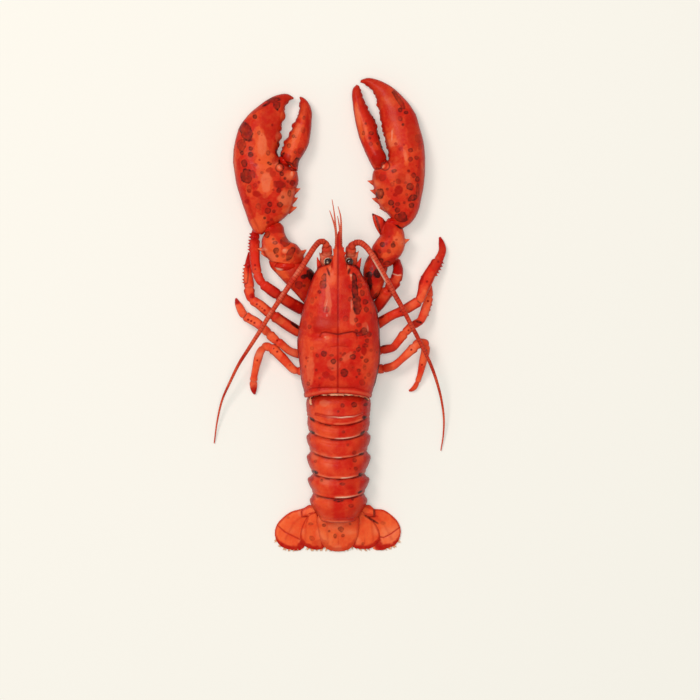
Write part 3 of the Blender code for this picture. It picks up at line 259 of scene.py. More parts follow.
def stations(rows, count):
    """Rows at even steps along a smooth curve through the given rows."""
    rows = np.array(rows, dtype=float)
    steps = np.linalg.norm(np.diff(rows[:, :3], axis=0), axis=1)
    place = np.concatenate([[0.0], np.cumsum(steps)])
    place /= place[-1]
    slopes = np.gradient(rows, place, axis=0)
    wanted = np.linspace(0.0, 1.0, count)
    k = np.clip(np.searchsorted(place, wanted, side="right") - 1, 0, len(rows) - 2)
    span = (place[k + 1] - place[k])[:, None]
    s = (wanted - place[k])[:, None] / span
    return (
        (2 * s**3 - 3 * s**2 + 1) * rows[k]
        + (s**3 - 2 * s**2 + s) * span * slopes[k]
        + (3 * s**2 - 2 * s**3) * rows[k + 1]
        + (s**3 - s**2) * span * slopes[k + 1]
    )


def closed_shell(rings, caps=None):
    """Points in mm and faces of one closed skin through the rings."""
    rings = np.array(rings, dtype=float)
    rings[:, :, 2] = np.maximum(rings[:, :, 2], 0.0)
    count, sides = rings.shape[:2]
    caps = caps if caps is not None else (rings[0].mean(axis=0), rings[-1].mean(axis=0))
    points = np.vstack([rings.reshape(-1, 3), np.array(caps, dtype=float)])
    faces = []
    for n in range(count - 1):
        for k in range(sides):
            j = (k + 1) % sides
            faces.append((n * sides + k, n * sides + j, (n + 1) * sides + j, (n + 1) * sides + k))
    last = (count - 1) * sides
    for k in range(sides):
        j = (k + 1) % sides
        faces.append((j, k, count * sides))
        faces.append((last + k, last + j, count * sides + 1))
    volume = 0.0
    for face in faces:
        a, b, c = points[face[0]], points[face[1]], points[face[2]]
        volume += a @ np.cross(b, c)
        if len(face) == 4:
            volume += a @ np.cross(c, points[face[3]])
    if volume < 0:
        faces = [face[::-1] for face in faces]
    return points, faces


def oval(sides, power):
    """Points of a rounded section, from -1 to 1 in both directions."""
    turn = np.arange(sides) * 2 * math.pi / sides
    across = np.sign(np.cos(turn)) * np.abs(np.cos(turn)) ** (2 / power)
    up = np.sign(np.sin(turn)) * np.abs(np.sin(turn)) ** (2 / power)
    return across, up


def rib_shell(rows, count=60, sides=40, power=2.2):
    """A skin given by two edge points, a middle height and a thickness at each row."""
    across, up = oval(sides, power)
    rings = []
    for x1, y1, x2, y2, height, thick in stations(rows, count):
        middle = np.array([(x1 + x2) / 2, (y1 + y2) / 2, height])
        half = np.array([(x2 - x1) / 2, (y2 - y1) / 2, 0.0])
        rise = np.array([0.0, 0.0, max(thick, 0.6) / 2])
        rings.append(middle + np.outer(across, half) + np.outer(up, rise))
    return closed_shell(rings)


def arch_shell(rows, count, section, belly, caps_at, fine=48):
    """A vaulted skin: rows are y, side lead, left x, right x, top and foot of the vault."""
    half_section = stations([(a, rise, 0.0) for a, rise in section], fine)[:, :2]
    outline = np.vstack([half_section, half_section[-2::-1] * (-1.0, 1.0)])
    floor = np.linspace(-1.0, 1.0, 9)
    rings = []
    for y, lead, left, right, top, foot in stations(rows, count):
        middle = (left + right) / 2
        half = (right - left) / 2
        ring = [(middle + half * a, foot + (top - foot) * rise) for a, rise in outline]
        ring += [(middle + min(12.0, 0.8 * half) * a, max(belly, foot)) for a in floor]
        rings.append([(x, y + lead * min(abs(x) / BOW_REACH, 1.0) ** 2.2, z) for x, z in ring])
    return closed_shell(rings, [(0.0, rows[0][0], caps_at[0]), (0.0, rows[-1][0], caps_at[1])])


def thorn_shell(base, tip, radius, sides=12, steps=10, bend=0.0):
    """A thorn: round at the root, drawn out to a blunt point."""
    base, tip = np.array(base, dtype=float), np.array(tip, dtype=float)
    way = tip - base
    side = np.cross(way, (0.0, 0.0, 1.0))
    if np.linalg.norm(side) < 1e-6:
        side = np.array([1.0, 0.0, 0.0])
    side /= np.linalg.norm(side)
    over = np.cross(side, way / np.linalg.norm(way))
    turn = np.arange(sides) * 2 * math.pi / sides
    rings = []
    for s in np.linspace(0.0, 1.0, steps):
        wide = radius * ((1 - s) ** 0.85 * 0.96 + 0.10)
        middle = base + way * s + side * bend * math.sin(math.pi * s)
        rings.append(middle + np.outer(np.cos(turn), side) * wide + np.outer(np.sin(turn), over) * wide)
    return closed_shell(rings)


def knob_shell(centre, radii, sides=16, steps=11):
    """A rounded knob."""
    turn = np.arange(sides) * 2 * math.pi / sides
    rings = []
    for lift in np.linspace(-1.45, 1.45, steps):
        wide = math.cos(lift)
        ring = np.stack([np.cos(turn) * wide, np.sin(turn) * wide, np.full(sides, math.sin(lift))], axis=1)
        rings.append(ring * np.array(radii) + np.array(centre))
    return closed_shell(rings)


def joined(shells):
    """The points, in metres, and faces of several skins as one."""
    points, faces, start = [], [], 0
    for shell_points, shell_faces in shells:
        points.append(shell_points * MM)
        faces += [tuple(start + k for k in face) for face in shell_faces]
        start += len(shell_points)
    return np.vstack(points).tolist(), faces


def weld(name, shells, voxel, rounds):
    """Fuses the skins into one even fine mesh and eases its corners."""
    piece = new_piece(name, *joined(shells))
    rough = piece.data
    remesh = piece.modifiers.new("even", "REMESH")
    remesh.mode = "VOXEL"
    remesh.voxel_size = voxel * MM
    ease = piece.modifiers.new("ease", "SMOOTH")
    ease.factor = 0.5
    ease.iterations = rounds
    graph = bpy.context.evaluated_depsgraph_get()
    fine = bpy.data.meshes.new_from_object(piece.evaluated_get(graph))
    piece.modifiers.clear()
    piece.data = fine
    bpy.data.meshes.remove(rough)
    fine.name = name
    return piece


def surface(piece):
    """Points and outward normals of a piece, in mm."""
    mesh = piece.data
    points = np.empty(len(mesh.vertices) * 3)
    mesh.vertices.foreach_get("co", points)
    normals = np.empty(len(mesh.vertices) * 3)
    mesh.vertex_normals.foreach_get("vector", normals)
    return points.reshape(-1, 3) / MM, normals.reshape(-1, 3)


def press(piece, points, normals, lift):
    """Moves each point along its normal by lift mm, never below the ground."""
    moved = points + normals * lift[:, None]
    moved[:, 2] = np.maximum(moved[:, 2], 0.0)
    piece.data.vertices.foreach_set("co", (moved * MM).ravel())
    piece.data.update()


def chance(cells, seed):
    """A steady value from 0 to 1 for each whole-number cell."""
    mixed = cells[..., 0] * 374761393 + cells[..., 1] * 668265263 + cells[..., 2] * 1274126177
    mixed = (mixed + seed * 974711) & 0xFFFFFFFF
    mixed = ((mixed ^ (mixed >> 13)) * 1274126177) & 0xFFFFFFFF
    return (mixed ^ (mixed >> 16)) / 4294967295.0


def cloud(points, size, seed):
    """Soft unevenness from -1 to 1 with patches about size mm wide."""
    at = points / size
    cell = np.floor(at).astype(np.int64)
    part = at - cell
    part = part * part * (3 - 2 * part)
    total = np.zeros(len(points))
    for dx in (0, 1):
        for dy in (0, 1):
            for dz in (0, 1):
                share = (
                    (part[:, 0] if dx else 1 - part[:, 0])
                    * (part[:, 1] if dy else 1 - part[:, 1])
                    * (part[:, 2] if dz else 1 - part[:, 2])
                )
                total += share * chance(cell + np.array([dx, dy, dz]), seed)
    return total * 2 - 1


def grains(points, size, seed):
    """Distance in mm to the nearest of many scattered points, and that point's chance."""
    at = points / size
    cell = np.floor(at).astype(np.int64)
    near = np.full(len(points), 9.0)
    which = np.zeros(len(points))
    for dx in (-1, 0, 1):
        for dy in (-1, 0, 1):
            for dz in (-1, 0, 1):
                beside = cell + np.array([dx, dy, dz])
                spot = beside + np.stack([chance(beside, seed + k) for k in (1, 2, 3)], axis=1)
                away = np.linalg.norm(at - spot, axis=1)
                closer = away < near
                near[closer] = away[closer]
                which[closer] = chance(beside, seed + 4)[closer]
    return near * size, which


def from_line(points, line):
    """Distance in mm, seen from above, to a line of points."""
    flat = points[:, :2]
    best = np.full(len(flat), 1e9)
    for a, b in zip(line, line[1:]):
        a, b = np.array(a, dtype=float), np.array(b, dtype=float)
        way = b - a
        s = np.clip((flat - a) @ way / (way @ way), 0.0, 1.0)
        best = np.minimum(best, np.linalg.norm(flat - a - s[:, None] * way, axis=1))
    return best


def bell(distance, width):
    """1 on the line and fading out within about width mm of it."""
    return np.exp(-((distance / width) ** 2))


def ramp(values, low, high):
    """0 below low, 1 above high, smooth between."""
    s = np.clip((values - low) / (high - low), 0.0, 1.0)
    return s * s * (3 - 2 * s)


def oval_distance(points, x, y, wide, high, turn):
    """Distance from the middle of a turned oval: 1 on its edge, seen from above."""
    c, s = math.cos(math.radians(turn)), math.sin(math.radians(turn))
    dx, dy = points[:, 0] - x, points[:, 1] - y
    return np.sqrt(((dx * c + dy * s) / wide) ** 2 + ((dy * c - dx * s) / high) ** 2)


def area_map(points, areas, seed, edge=0.16):
    """Areas of one colour with uneven edges: 0 to 1."""
    total = np.zeros(len(points))
    wobble = cloud(points, 5.0, seed) * 0.34 + cloud(points, 1.7, seed + 1) * 0.20
    for *oval_shape, strength in areas:
        away = oval_distance(points, *oval_shape) + wobble
        total = np.maximum(total, (1 - ramp(away, 1.0 - edge, 1.0 + edge)) * strength)
    return total


def stain_map(points, normals, stains, seed):
    """Burnt-brown blotches with a darker outline, as boiled-in pigment dries: 0 to 1.
    The notch marks at the ends of the tail rings, drawn with it, are painted shadows, not stains.
    """
    gap = np.full(len(points), 9.0)
    power = np.zeros(len(points))
    wobble = cloud(points, 2.4, seed) * 0.55 + cloud(points, 1.0, seed + 1) * 0.26
    hollow = cloud(points, 1.5, seed + 2)
    for x, y, wide, high, turn, strength in stains:
        small = min(wide, high)
        away = oval_distance(points, x, y, wide, high, turn)
        outside = (away - 1.0) * small + wobble * min(1.6, small / 2.2)
        nearer = outside < gap
        gap[nearer] = outside[nearer]
        power[nearer] = strength
    fill = 1 - ramp(gap, -0.25, 0.15)
    rim = bell(gap + 0.05, 0.34) * (0.85 + 0.35 * hollow)
    body = 0.64 + 0.36 * ramp(power, 1.2, 1.3)
    total = (body * fill * (0.85 + 0.35 * hollow) + 0.72 * rim) * power
    return np.clip(total, 0.0, 0.97) * (normals[:, 2] > -0.15)


def freckles(points, size, share, radius, seed, ring=0.45):
    """Small scattered specks: a share of the scattered points, each with its own radius."""
    away, which = grains(points, size, seed)
    wide = radius * (0.45 + 0.8 * (which / share))
    speck = 1 - ramp(away, wide * 0.7, wide * 1.15)
    outline = bell(away - wide, 0.4) * ring
    return np.where(which < share, np.clip((1.0 - ring) * speck + outline, 0.0, 1.0), 0.0)


def tint(piece, **layers):
    """Stores painted layers, 0 to 1, on the piece's points for its material.
    Steep sides are painted deeper red, a painted shade down the sides and along the outline seen from above."""
    points, normals = surface(piece)
    blank = np.zeros(len(points))
    if "deep" in layers:
        steep_side_shade = (1 - ramp(normals[:, 2], 0.16, 0.60)) * ramp(normals[:, 2], -0.35, 0.05)
        layers["deep"] = np.maximum(layers["deep"], steep_side_shade * (0.62 + 0.25 * cloud(points, 4.0, 9)))
        layers = {"stain": blank, "cream": blank, **layers}
    for name, values in layers.items():
        layer = piece.data.attributes.new(name, "FLOAT", "POINT")
        layer.data.foreach_set("value", np.clip(values + blank, 0.0, 1.0).astype(np.float32))


def boiled_shell(name, red, orange, deep, stain, pale, roughness, pit_size):
    """Boiled crustacean shell: waxy, slightly clear red over orange, with fine pits, pit_size mm
    apart, that break up the gloss. The noise scales are counts in a metre: clouds 10.5 mm wide,
    mottling 3 mm wide and grit of 0.7 mm, which is as coarse as it needs to show."""
    material, tree, shader = new_material(
        name,
        {
            "Specular IOR Level": 0.12, "Subsurface Weight": 0.10, "Subsurface Scale": 0.0016,
            "Subsurface Radius": (1.0, 0.25, 0.1), "Coat Weight": 0.02, "Coat Roughness": 0.22,
        },
    )
    place = add(tree, "ShaderNodeTexCoord").outputs["Object"]
    patches = add(tree, "ShaderNodeTexNoise", {
        "Vector": place, "Scale": 95.0, "Detail": 5.0, "Roughness": 0.62,
    })
    mottle = add(tree, "ShaderNodeTexNoise", {
        "Vector": place, "Scale": 330.0, "Detail": 4.0, "Roughness": 0.6,
    })
    dots = add(tree, "ShaderNodeTexVoronoi", {"Vector": place, "Scale": 1000.0 / pit_size})
    grit = add(tree, "ShaderNodeTexNoise", {"Vector": place, "Scale": 1500.0, "Detail": 3.0})
    mottling = {"Value": mottle.outputs["Fac"], "From Min": 0.3, "From Max": 0.7}
    layers = {
        layer: add(tree, "ShaderNodeAttribute", attribute_name=layer).outputs["Fac"]
        for layer in ("warm", "deep", "stain", "pale", "cream")
    }
    cloudy = add(tree, "ShaderNodeMapRange", {
        "Value": patches.outputs["Fac"], "From Min": 0.34, "From Max": 0.66, "To Min": -0.34,
        "To Max": 0.34,
    })
    warm = add(tree, "ShaderNodeMath", {
        0: layers["warm"], 1: cloudy.outputs[0],
    }, operation="ADD", use_clamp=True)
    fine = add(tree, "ShaderNodeMapRange", {**mottling, "To Min": -0.16, "To Max": 0.16})
    warm = add(tree, "ShaderNodeMath", {
        0: warm.outputs[0], 1: fine.outputs[0],
    }, operation="ADD", use_clamp=True)
    colour = add(tree, "ShaderNodeMix", {
        "Factor": warm.outputs[0], "A": hex_colour(red), "B": hex_colour(orange),
    }, data_type="RGBA").outputs["Result"]
    # The layers over the red and orange: pale, partly pale shell and partly painted highlight; deep red,
    # partly the shell's own and partly painted shade; brown stains together with painted shade; and cream, a
    # painted highlight.
    for layer, shade in (("pale", pale), ("deep", deep), ("stain", stain), ("cream", "f6d3b4")):
        uneven = add(tree, "ShaderNodeMapRange", {**mottling, "To Min": 0.82, "To Max": 1.12})
        amount = add(tree, "ShaderNodeMath", {
            0: layers[layer], 1: uneven.outputs[0],
        }, operation="MULTIPLY", use_clamp=True)
        colour = add(tree, "ShaderNodeMix", {
            "Factor": amount.outputs[0], "A": colour, "B": hex_colour(shade),
        }, data_type="RGBA").outputs["Result"]
    tree.links.new(colour, shader.inputs["Base Color"])
    gloss = add(tree, "ShaderNodeMapRange", {
        **mottling, "To Min": roughness - 0.05, "To Max": roughness + 0.12,
    })
    tree.links.new(gloss.outputs[0], shader.inputs["Roughness"])
    pits = add(tree, "ShaderNodeMapRange", {
        "Value": dots.outputs["Distance"], "From Min": 0.0, "From Max": 0.45, "To Min": 0.0, "To Max": 1.0,
    })
    rough_height = add(tree, "ShaderNodeMath", {0: grit.outputs["Fac"], 1: 0.5}, operation="MULTIPLY")
    height = add(tree, "ShaderNodeMath", {0: pits.outputs[0], 1: rough_height.outputs[0]}, operation="ADD")
    bump = add(tree, "ShaderNodeBump", {"Height": height.outputs[0], "Strength": 0.5, "Distance": 0.0002})
    tree.links.new(bump.outputs["Normal"], shader.inputs["Normal"])
    return material


def dress(piece, material, slot, *nodes):
    """Gives the piece its material and ties it to the model."""
    piece.data.materials.clear()
    piece.data.materials.append(material)
    piece.data.polygons.foreach_set("use_smooth", [True] * len(piece.data.polygons))
    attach(piece, "root")
    if nodes:
        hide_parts(*nodes)


# The hard shell of the back and tail rings: red with orange clouds and brown boiled-in stains; the same brown
# and deep red also paint shade along edges and under the ring lips
back_shell = boiled_shell("boiled_back_shell", "ca1e0f", "e44e28", "a60905", "34110f", "ea7850", 0.36, 1.5)

carapace_rows = [
    (y, CARAPACE_REAR_BOW * max(0.0, (-30.0 - y) / 6.3), left, right, top, foot)
    for y, left, right, top, foot in CARAPACE_ROWS
]
carapace = weld(
    "carapace_shell",
    [
        arch_shell(carapace_rows, 90, CARAPACE_SECTION, CARAPACE_EDGE, (37.0, 19.5)),
        rib_shell(ROSTRUM_ROWS, 40, 20),
        *[thorn_shell(*spine) for spine in HEAD_SPINES],
    ],
    0.54,
    6,
)
points, normals = surface(carapace)
middle = from_line(points, MIDDLE_LINE)
neck = from_line(points, NECK_GROOVE)
side_groove = np.minimum(from_line(points, SIDE_GROOVE_LEFT), from_line(points, SIDE_GROOVE_RIGHT))
small = from_line(points, SMALL_GROOVE)
rear = from_line(points, REAR_GROOVE)
on_top = ramp(normals[:, 2], 0.0, 0.3)
warts, wart_kind = grains(points, 2.3, 11)
lift = (
    -0.12
    - 0.07 * bell(middle, 0.7) * on_top
    - 0.34 * bell(neck, 0.7)
    + 0.12 * bell(neck - 2.0, 1.2)
    - 0.40 * bell(side_groove, 2.4)
    - 0.25 * bell(small, 0.7) * on_top
    - 0.45 * bell(rear, 0.7)
    + 0.12 * bell(warts, 0.55) * (wart_kind > 0.35)
    + 0.14 * cloud(points, 7.0, 3)
)
press(carapace, points, normals, lift)
spread = np.abs(points[:, 0])
left_edge = from_line(points, [(row[2], row[0] + row[1]) for row in carapace_rows])
right_edge = from_line(points, [(row[3], row[0] + row[1]) for row in carapace_rows])
to_rear = points[:, 1] + 36.5 - CARAPACE_REAR_BOW * np.minimum(spread / BOW_REACH, 1.0) ** 2.2
# The deep red and brown along the outline, heavier on the right edge away from the lamp, are painted shade.
tint(
    carapace,
    warm=(
        0.22 + 0.62 * area_map(points, CARAPACE_GLOW, 41) + 0.20 * cloud(points, 11.0, 5)
        + 0.12 * cloud(points, 3.5, 6) + 0.3 * ramp(-normals[:, 2], 0.0, 0.8)
    ),
    deep=np.maximum.reduce([
        0.95 * bell(middle, 0.75) * on_top,
        0.80 * bell(neck, 0.7),
        0.7 * bell(rear, 0.6),
        0.85 * (1 - ramp(np.minimum(left_edge, right_edge), 0.5, 1.9)),
        0.8 * (1 - ramp(to_rear, 0.3, 0.9)) * on_top,
        0.7 * bell(small, 0.5),
        0.85 * area_map(points, CARAPACE_BLUSH, 43),
        0.75 * freckles(points, 5.0, 0.30, 0.7, 33, 0.0),
    ]),
    stain=np.maximum.reduce([
        stain_map(points, normals, CARAPACE_STAINS, 21),
        0.75 * bell(neck, 0.45) * ramp(cloud(points, 5.0, 12), -0.3, 0.3),
        0.85 * (1 - ramp(right_edge, 0.2, 1.3)) * ramp(cloud(points, 9.0, 14), -0.7, 0.1),
        0.40 * (1 - ramp(left_edge, 0.1, 0.9)),
        0.60 * freckles(points, 4.4, 0.17, 0.75, 34, 0.6),
        0.35 * bell(middle, 0.4) * ramp(cloud(points, 7.0, 13), -0.2, 0.5) * on_top,
    ]),
    pale=np.maximum(
        0.8 * area_map(points, CARAPACE_PALE, 45, 0.24),
        0.35 * bell(to_rear - 2.2, 1.0) * on_top,
    ),
    cream=0.7 * area_map(points, CARAPACE_HIGHLIGHTS, 46, 0.3),
)
dress(carapace, back_shell, "cooked_shell_red", "carapace")

# Seam behind the carapace: the tan skin that ties the back shell to the tail, dried and crinkled.
# It shows as a thin band under the rear rim, with dark flecks on the side that faces the tail.
SEAM_PATH = [
    (-20.2, -45), (-20.9, -43), (-20.8, -40.8), (-19.4, -38.4), (-16.6, -36.9), (-10.6, -36.9),
    (0, -37.1), (10, -37.2), (16.4, -38), (20.2, -39.6), (22.4, -41.2),
]


def path_shell(rows, count, sides, power=2.2, pinches=(), rings=0.0):
    """A skin that follows a line, given its width and thickness, pinched at the joints."""
    across, up = oval(sides, power)
    rows = stations(rows, count)
    heading = np.gradient(rows[:, :3], axis=0)
    length = np.linalg.norm(np.diff(rows[:, :3], axis=0), axis=1).sum()
    made = []
    for n, ((x, y, height, wide, thick), along) in enumerate(zip(rows, heading)):
        s = n / (count - 1)
        girth = 1.0
        for joint in pinches:
            away = (s - joint) * length
            girth += 0.10 * math.exp(-(((away + 2.0) / 1.5) ** 2)) - 0.24 * math.exp(-((away / 0.8) ** 2))
        if rings:
            girth += rings * math.sin(2 * math.pi * s * length / 1.15)
        along = along / np.linalg.norm(along)
        side = np.cross(along, (0.0, 0.0, 1.0))
        side /= np.linalg.norm(side)
        over = np.cross(side, along)
        middle = np.array([x, y, height])
        sideways = np.outer(across, side) * wide * girth / 2
        made.append(middle + sideways + np.outer(up, over) * thick * girth / 2)
    return closed_shell(made)


def vault_height(x, half, top, foot, section):
    """Height of a vaulted ring at x mm from its middle line."""
    outward, rises = zip(*[(a, rise) for a, rise in section if rise >= 0.4][::-1])
    return foot + (top - foot) * np.interp(min(abs(x) / half, 1.0), outward, rises)


# Dried skin: matt and wrinkled tan, so that it stays dull beside the shell
seam_skin = boiled_shell("dried_tan_seam_skin", "c84c32", "da7650", "a42c1a", "2a0e0c", "edaf86", 0.5, 0.9)
seam_rows = [
    (x, y, vault_height(x, 25.4, 42.6, 14.0, CARAPACE_SECTION) - 0.5, 1.9, 1.8)
    for x, y in SEAM_PATH
]
seam = weld("rear_seam_skin", [path_shell(seam_rows, 120, 16)], 0.35, 2)
points, normals = surface(seam)
press(seam, points, normals, 0.22 * cloud(points, 1.3, 47) + 0.14 * cloud(points, 0.7, 48))
tint(
    seam,
    warm=0.6 + 0.5 * cloud(points, 4.0, 49),
    deep=0.5 * ramp(cloud(points, 3.0, 50), 0.1, 0.6),
    stain=(
        0.95 * ramp(cloud(points, 1.9, 51), -0.15, 0.1)
        * ramp(-normals[:, 1] + 0.5 * cloud(points, 1.2, 53), 0.1, 0.4)
    ),
    pale=0.8 * ramp(cloud(points, 4.0, 52), -0.2, 0.3),
)
dress(seam, seam_skin, "cooked_shell_orange")

# Underside of the thorax: the jointed breastplate between the legs, thin shell, hidden from above.
# It is paler than the back, with a seam down the middle and a furrow between each pair of legs.
THORAX_ROWS = [
    (-6, 41, 6, 41, 5.6, 8),
    (-10.6, 34, 10.6, 34, 4.9, 10.2),
    (-14.6, 24, 14.6, 24, 4.8, 10.8),
    (-14.6, 0, 14.6, 0, 4.8, 10.8),
    (-14.6, -24, 14.6, -24, 4.8, 10.8),
    (-11.6, -34, 11.6, -34, 5, 9.6),
]
LEG_FURROWS = (32, 14, 1, -11.5, -24)

# Thin underside shell: paler and more orange than the back, since little pigment lies in it
thin_shell = boiled_shell(
    "boiled_thin_underside_shell", "d4603c", "eb9a6c", "b4361e", "6a3424", "f6c8a2", 0.38, 1.2,
)
thorax = weld("thorax_plate", [rib_shell(THORAX_ROWS, 60, 40, 4.0)], 0.7, 3)
points, normals = surface(thorax)
furrow = np.maximum.reduce([bell(points[:, 1] - y, 1.0) for y in LEG_FURROWS])
under = ramp(-normals[:, 2], 0.2, 0.8)
press(thorax, points, normals, -0.10 - 0.6 * furrow - 0.6 * bell(points[:, 0], 1.0) * under)
tint(
    thorax,
    warm=0.5 + 0.4 * cloud(points, 8.0, 40),
    deep=0.5 * furrow,
    stain=freckles(points, 6.0, 0.2, 0.6, 41) * 0.5,
    pale=0.5 + 0.3 * cloud(points, 5.0, 42),
)
dress(thorax, thin_shell, "thin_shell_pale_orange", "thorax_underside")

# Tail rings: six vaulted rings of back shell, each with its rear lip over the next ring
# and a pointed side lobe that hangs towards the ground.
TAIL_SECTION = [
    (0.93, 0), (0.985, 0.12), (1, 0.26), (0.975, 0.48), (0.88, 0.70), (0.68, 0.88), (0.36, 0.975), (0, 1),
]
TAIL_RINGS = {
    "abdomen_1": [
        (-37.2, -3, 23.6, 35.5, 8),
        (-41.5, -1, 24.4, 37.6, 5),
        (-49, 2.6, 24.2, 38, 3.2),
        (-57.5, 6.2, 23.8, 38.4, 3.4),
        (-60.2, 7.1, 23.4, 37.8, 4.2),
    ],
    "abdomen_2": [
        (-60.8, 7.1, 23.3, 36, 4.2),
        (-63, 7.1, 23.6, 37.4, 2.4),
        (-68.6, 7.1, 23, 37.6, 2),
        (-70.7, 7.1, 21.9, 37, 3.4),
    ],
    "abdomen_3": [
        (-71.3, 7.1, 21.9, 35.4, 3.4),
        (-75.6, 7.1, 24.2, 36.8, 1),
        (-79.6, 7.1, 23.6, 36.8, 0.6),
        (-83.4, 7.1, 21.8, 36.4, 1.6),
        (-84.9, 7.1, 21.4, 35.8, 2.8),
    ],
    "abdomen_4": [
        (-85.5, 7.1, 21.4, 34.2, 2.8),
        (-91, 6.8, 24.2, 35.4, 0.8),
        (-95, 6.6, 22.9, 35.4, 0.4),
        (-99, 6.1, 20.4, 34.8, 1.6),
        (-100.3, 6, 19.8, 34.2, 2.8),
    ],
    "abdomen_5": [
        (-100.9, 6, 19.8, 32.6, 2.8),
        (-106.4, 5.8, 23.4, 33.4, 0.8),
        (-110, 5.7, 22, 33, 0.4),
        (-113.6, 5.6, 19.8, 32.2, 1.6),
        (-114.9, 5.6, 19.5, 31.6, 2.8),
    ],
    "abdomen_6": [
        (-115.5, 5.6, 19.5, 29.8, 2.8),
        (-121.5, 5.8, 21.8, 29.2, 1.2),
        (-126.5, 6, 19.4, 27, 4),
        (-131, 6.3, 15, 23.6, 9.5),
        (-133.6, 6.4, 12.8, 20.8, 13),
    ],
}
RING_TUCK = 3.2
FIRST_RING_CREASE = [(-17, -51.6), (-8, -53.6), (2, -54.2), (12, -53.4), (19, -51)]
# Dark marks on the rings; the strongest ones, of strength 1.3 near the ring ends, are painted shadows in the
# notches where the rings hinge, the rest are stains
RING_MARKS = {
    "abdomen_1": [
        (11.6, -44.8, 1.9, 1.9, 0, 0.9), (3.2, -45.2, 1.4, 1.4, 0, 0.8), (-0.2, -49.8, 0.9, 0.9, 0, 0.6),
        (20.2, -44.6, 1.6, 1, 20, 0.9),
    ],
    "abdomen_2": [
        (-19.8, -55.8, 1.9, 0.8, -40, 1.3), (19.6, -54.4, 1.5, 1, 20, 1.3), (3.6, -65, 1, 1, 0, 0.6),
    ],
    "abdomen_3": [
        (-19.6, -65.4, 1.7, 0.8, -30, 1.3), (18, -65.8, 1.8, 0.7, 35, 1.3), (7, -74.6, 0.9, 0.9, 0, 0.5),
        (12, -80.6, 1.5, 1.5, 0, 0.5),
    ],
    "abdomen_4": [
        (17.2, -81.6, 1.5, 0.7, 10, 1.3), (-17.6, -87, 1, 1, 0, 0.5), (12.2, -86.2, 1.5, 1.5, 0, 0.6),
        (13, -92.6, 1.3, 1.3, 0, 0.6),
    ],
    "abdomen_5": [
        (-17.6, -95.4, 2, 0.9, -25, 1.3), (16.6, -96.8, 1.5, 0.8, 20, 1.3), (-12.6, -101.2, 1, 1, 0, 0.7),
        (3, -104, 1.8, 0.9, 0, 0.7),
    ],
    "abdomen_6": [
        (16.4, -110.2, 1.5, 0.7, 30, 1.3), (10.6, -115.2, 0.9, 0.9, 0, 0.8),
        (-15.6, -113.6, 0.8, 0.8, 0, 0.6), (9.6, -120.4, 1.6, 1.3, 0, 0.6), (0, -116.4, 3.4, 1, 0, 0.9),
    ],
}

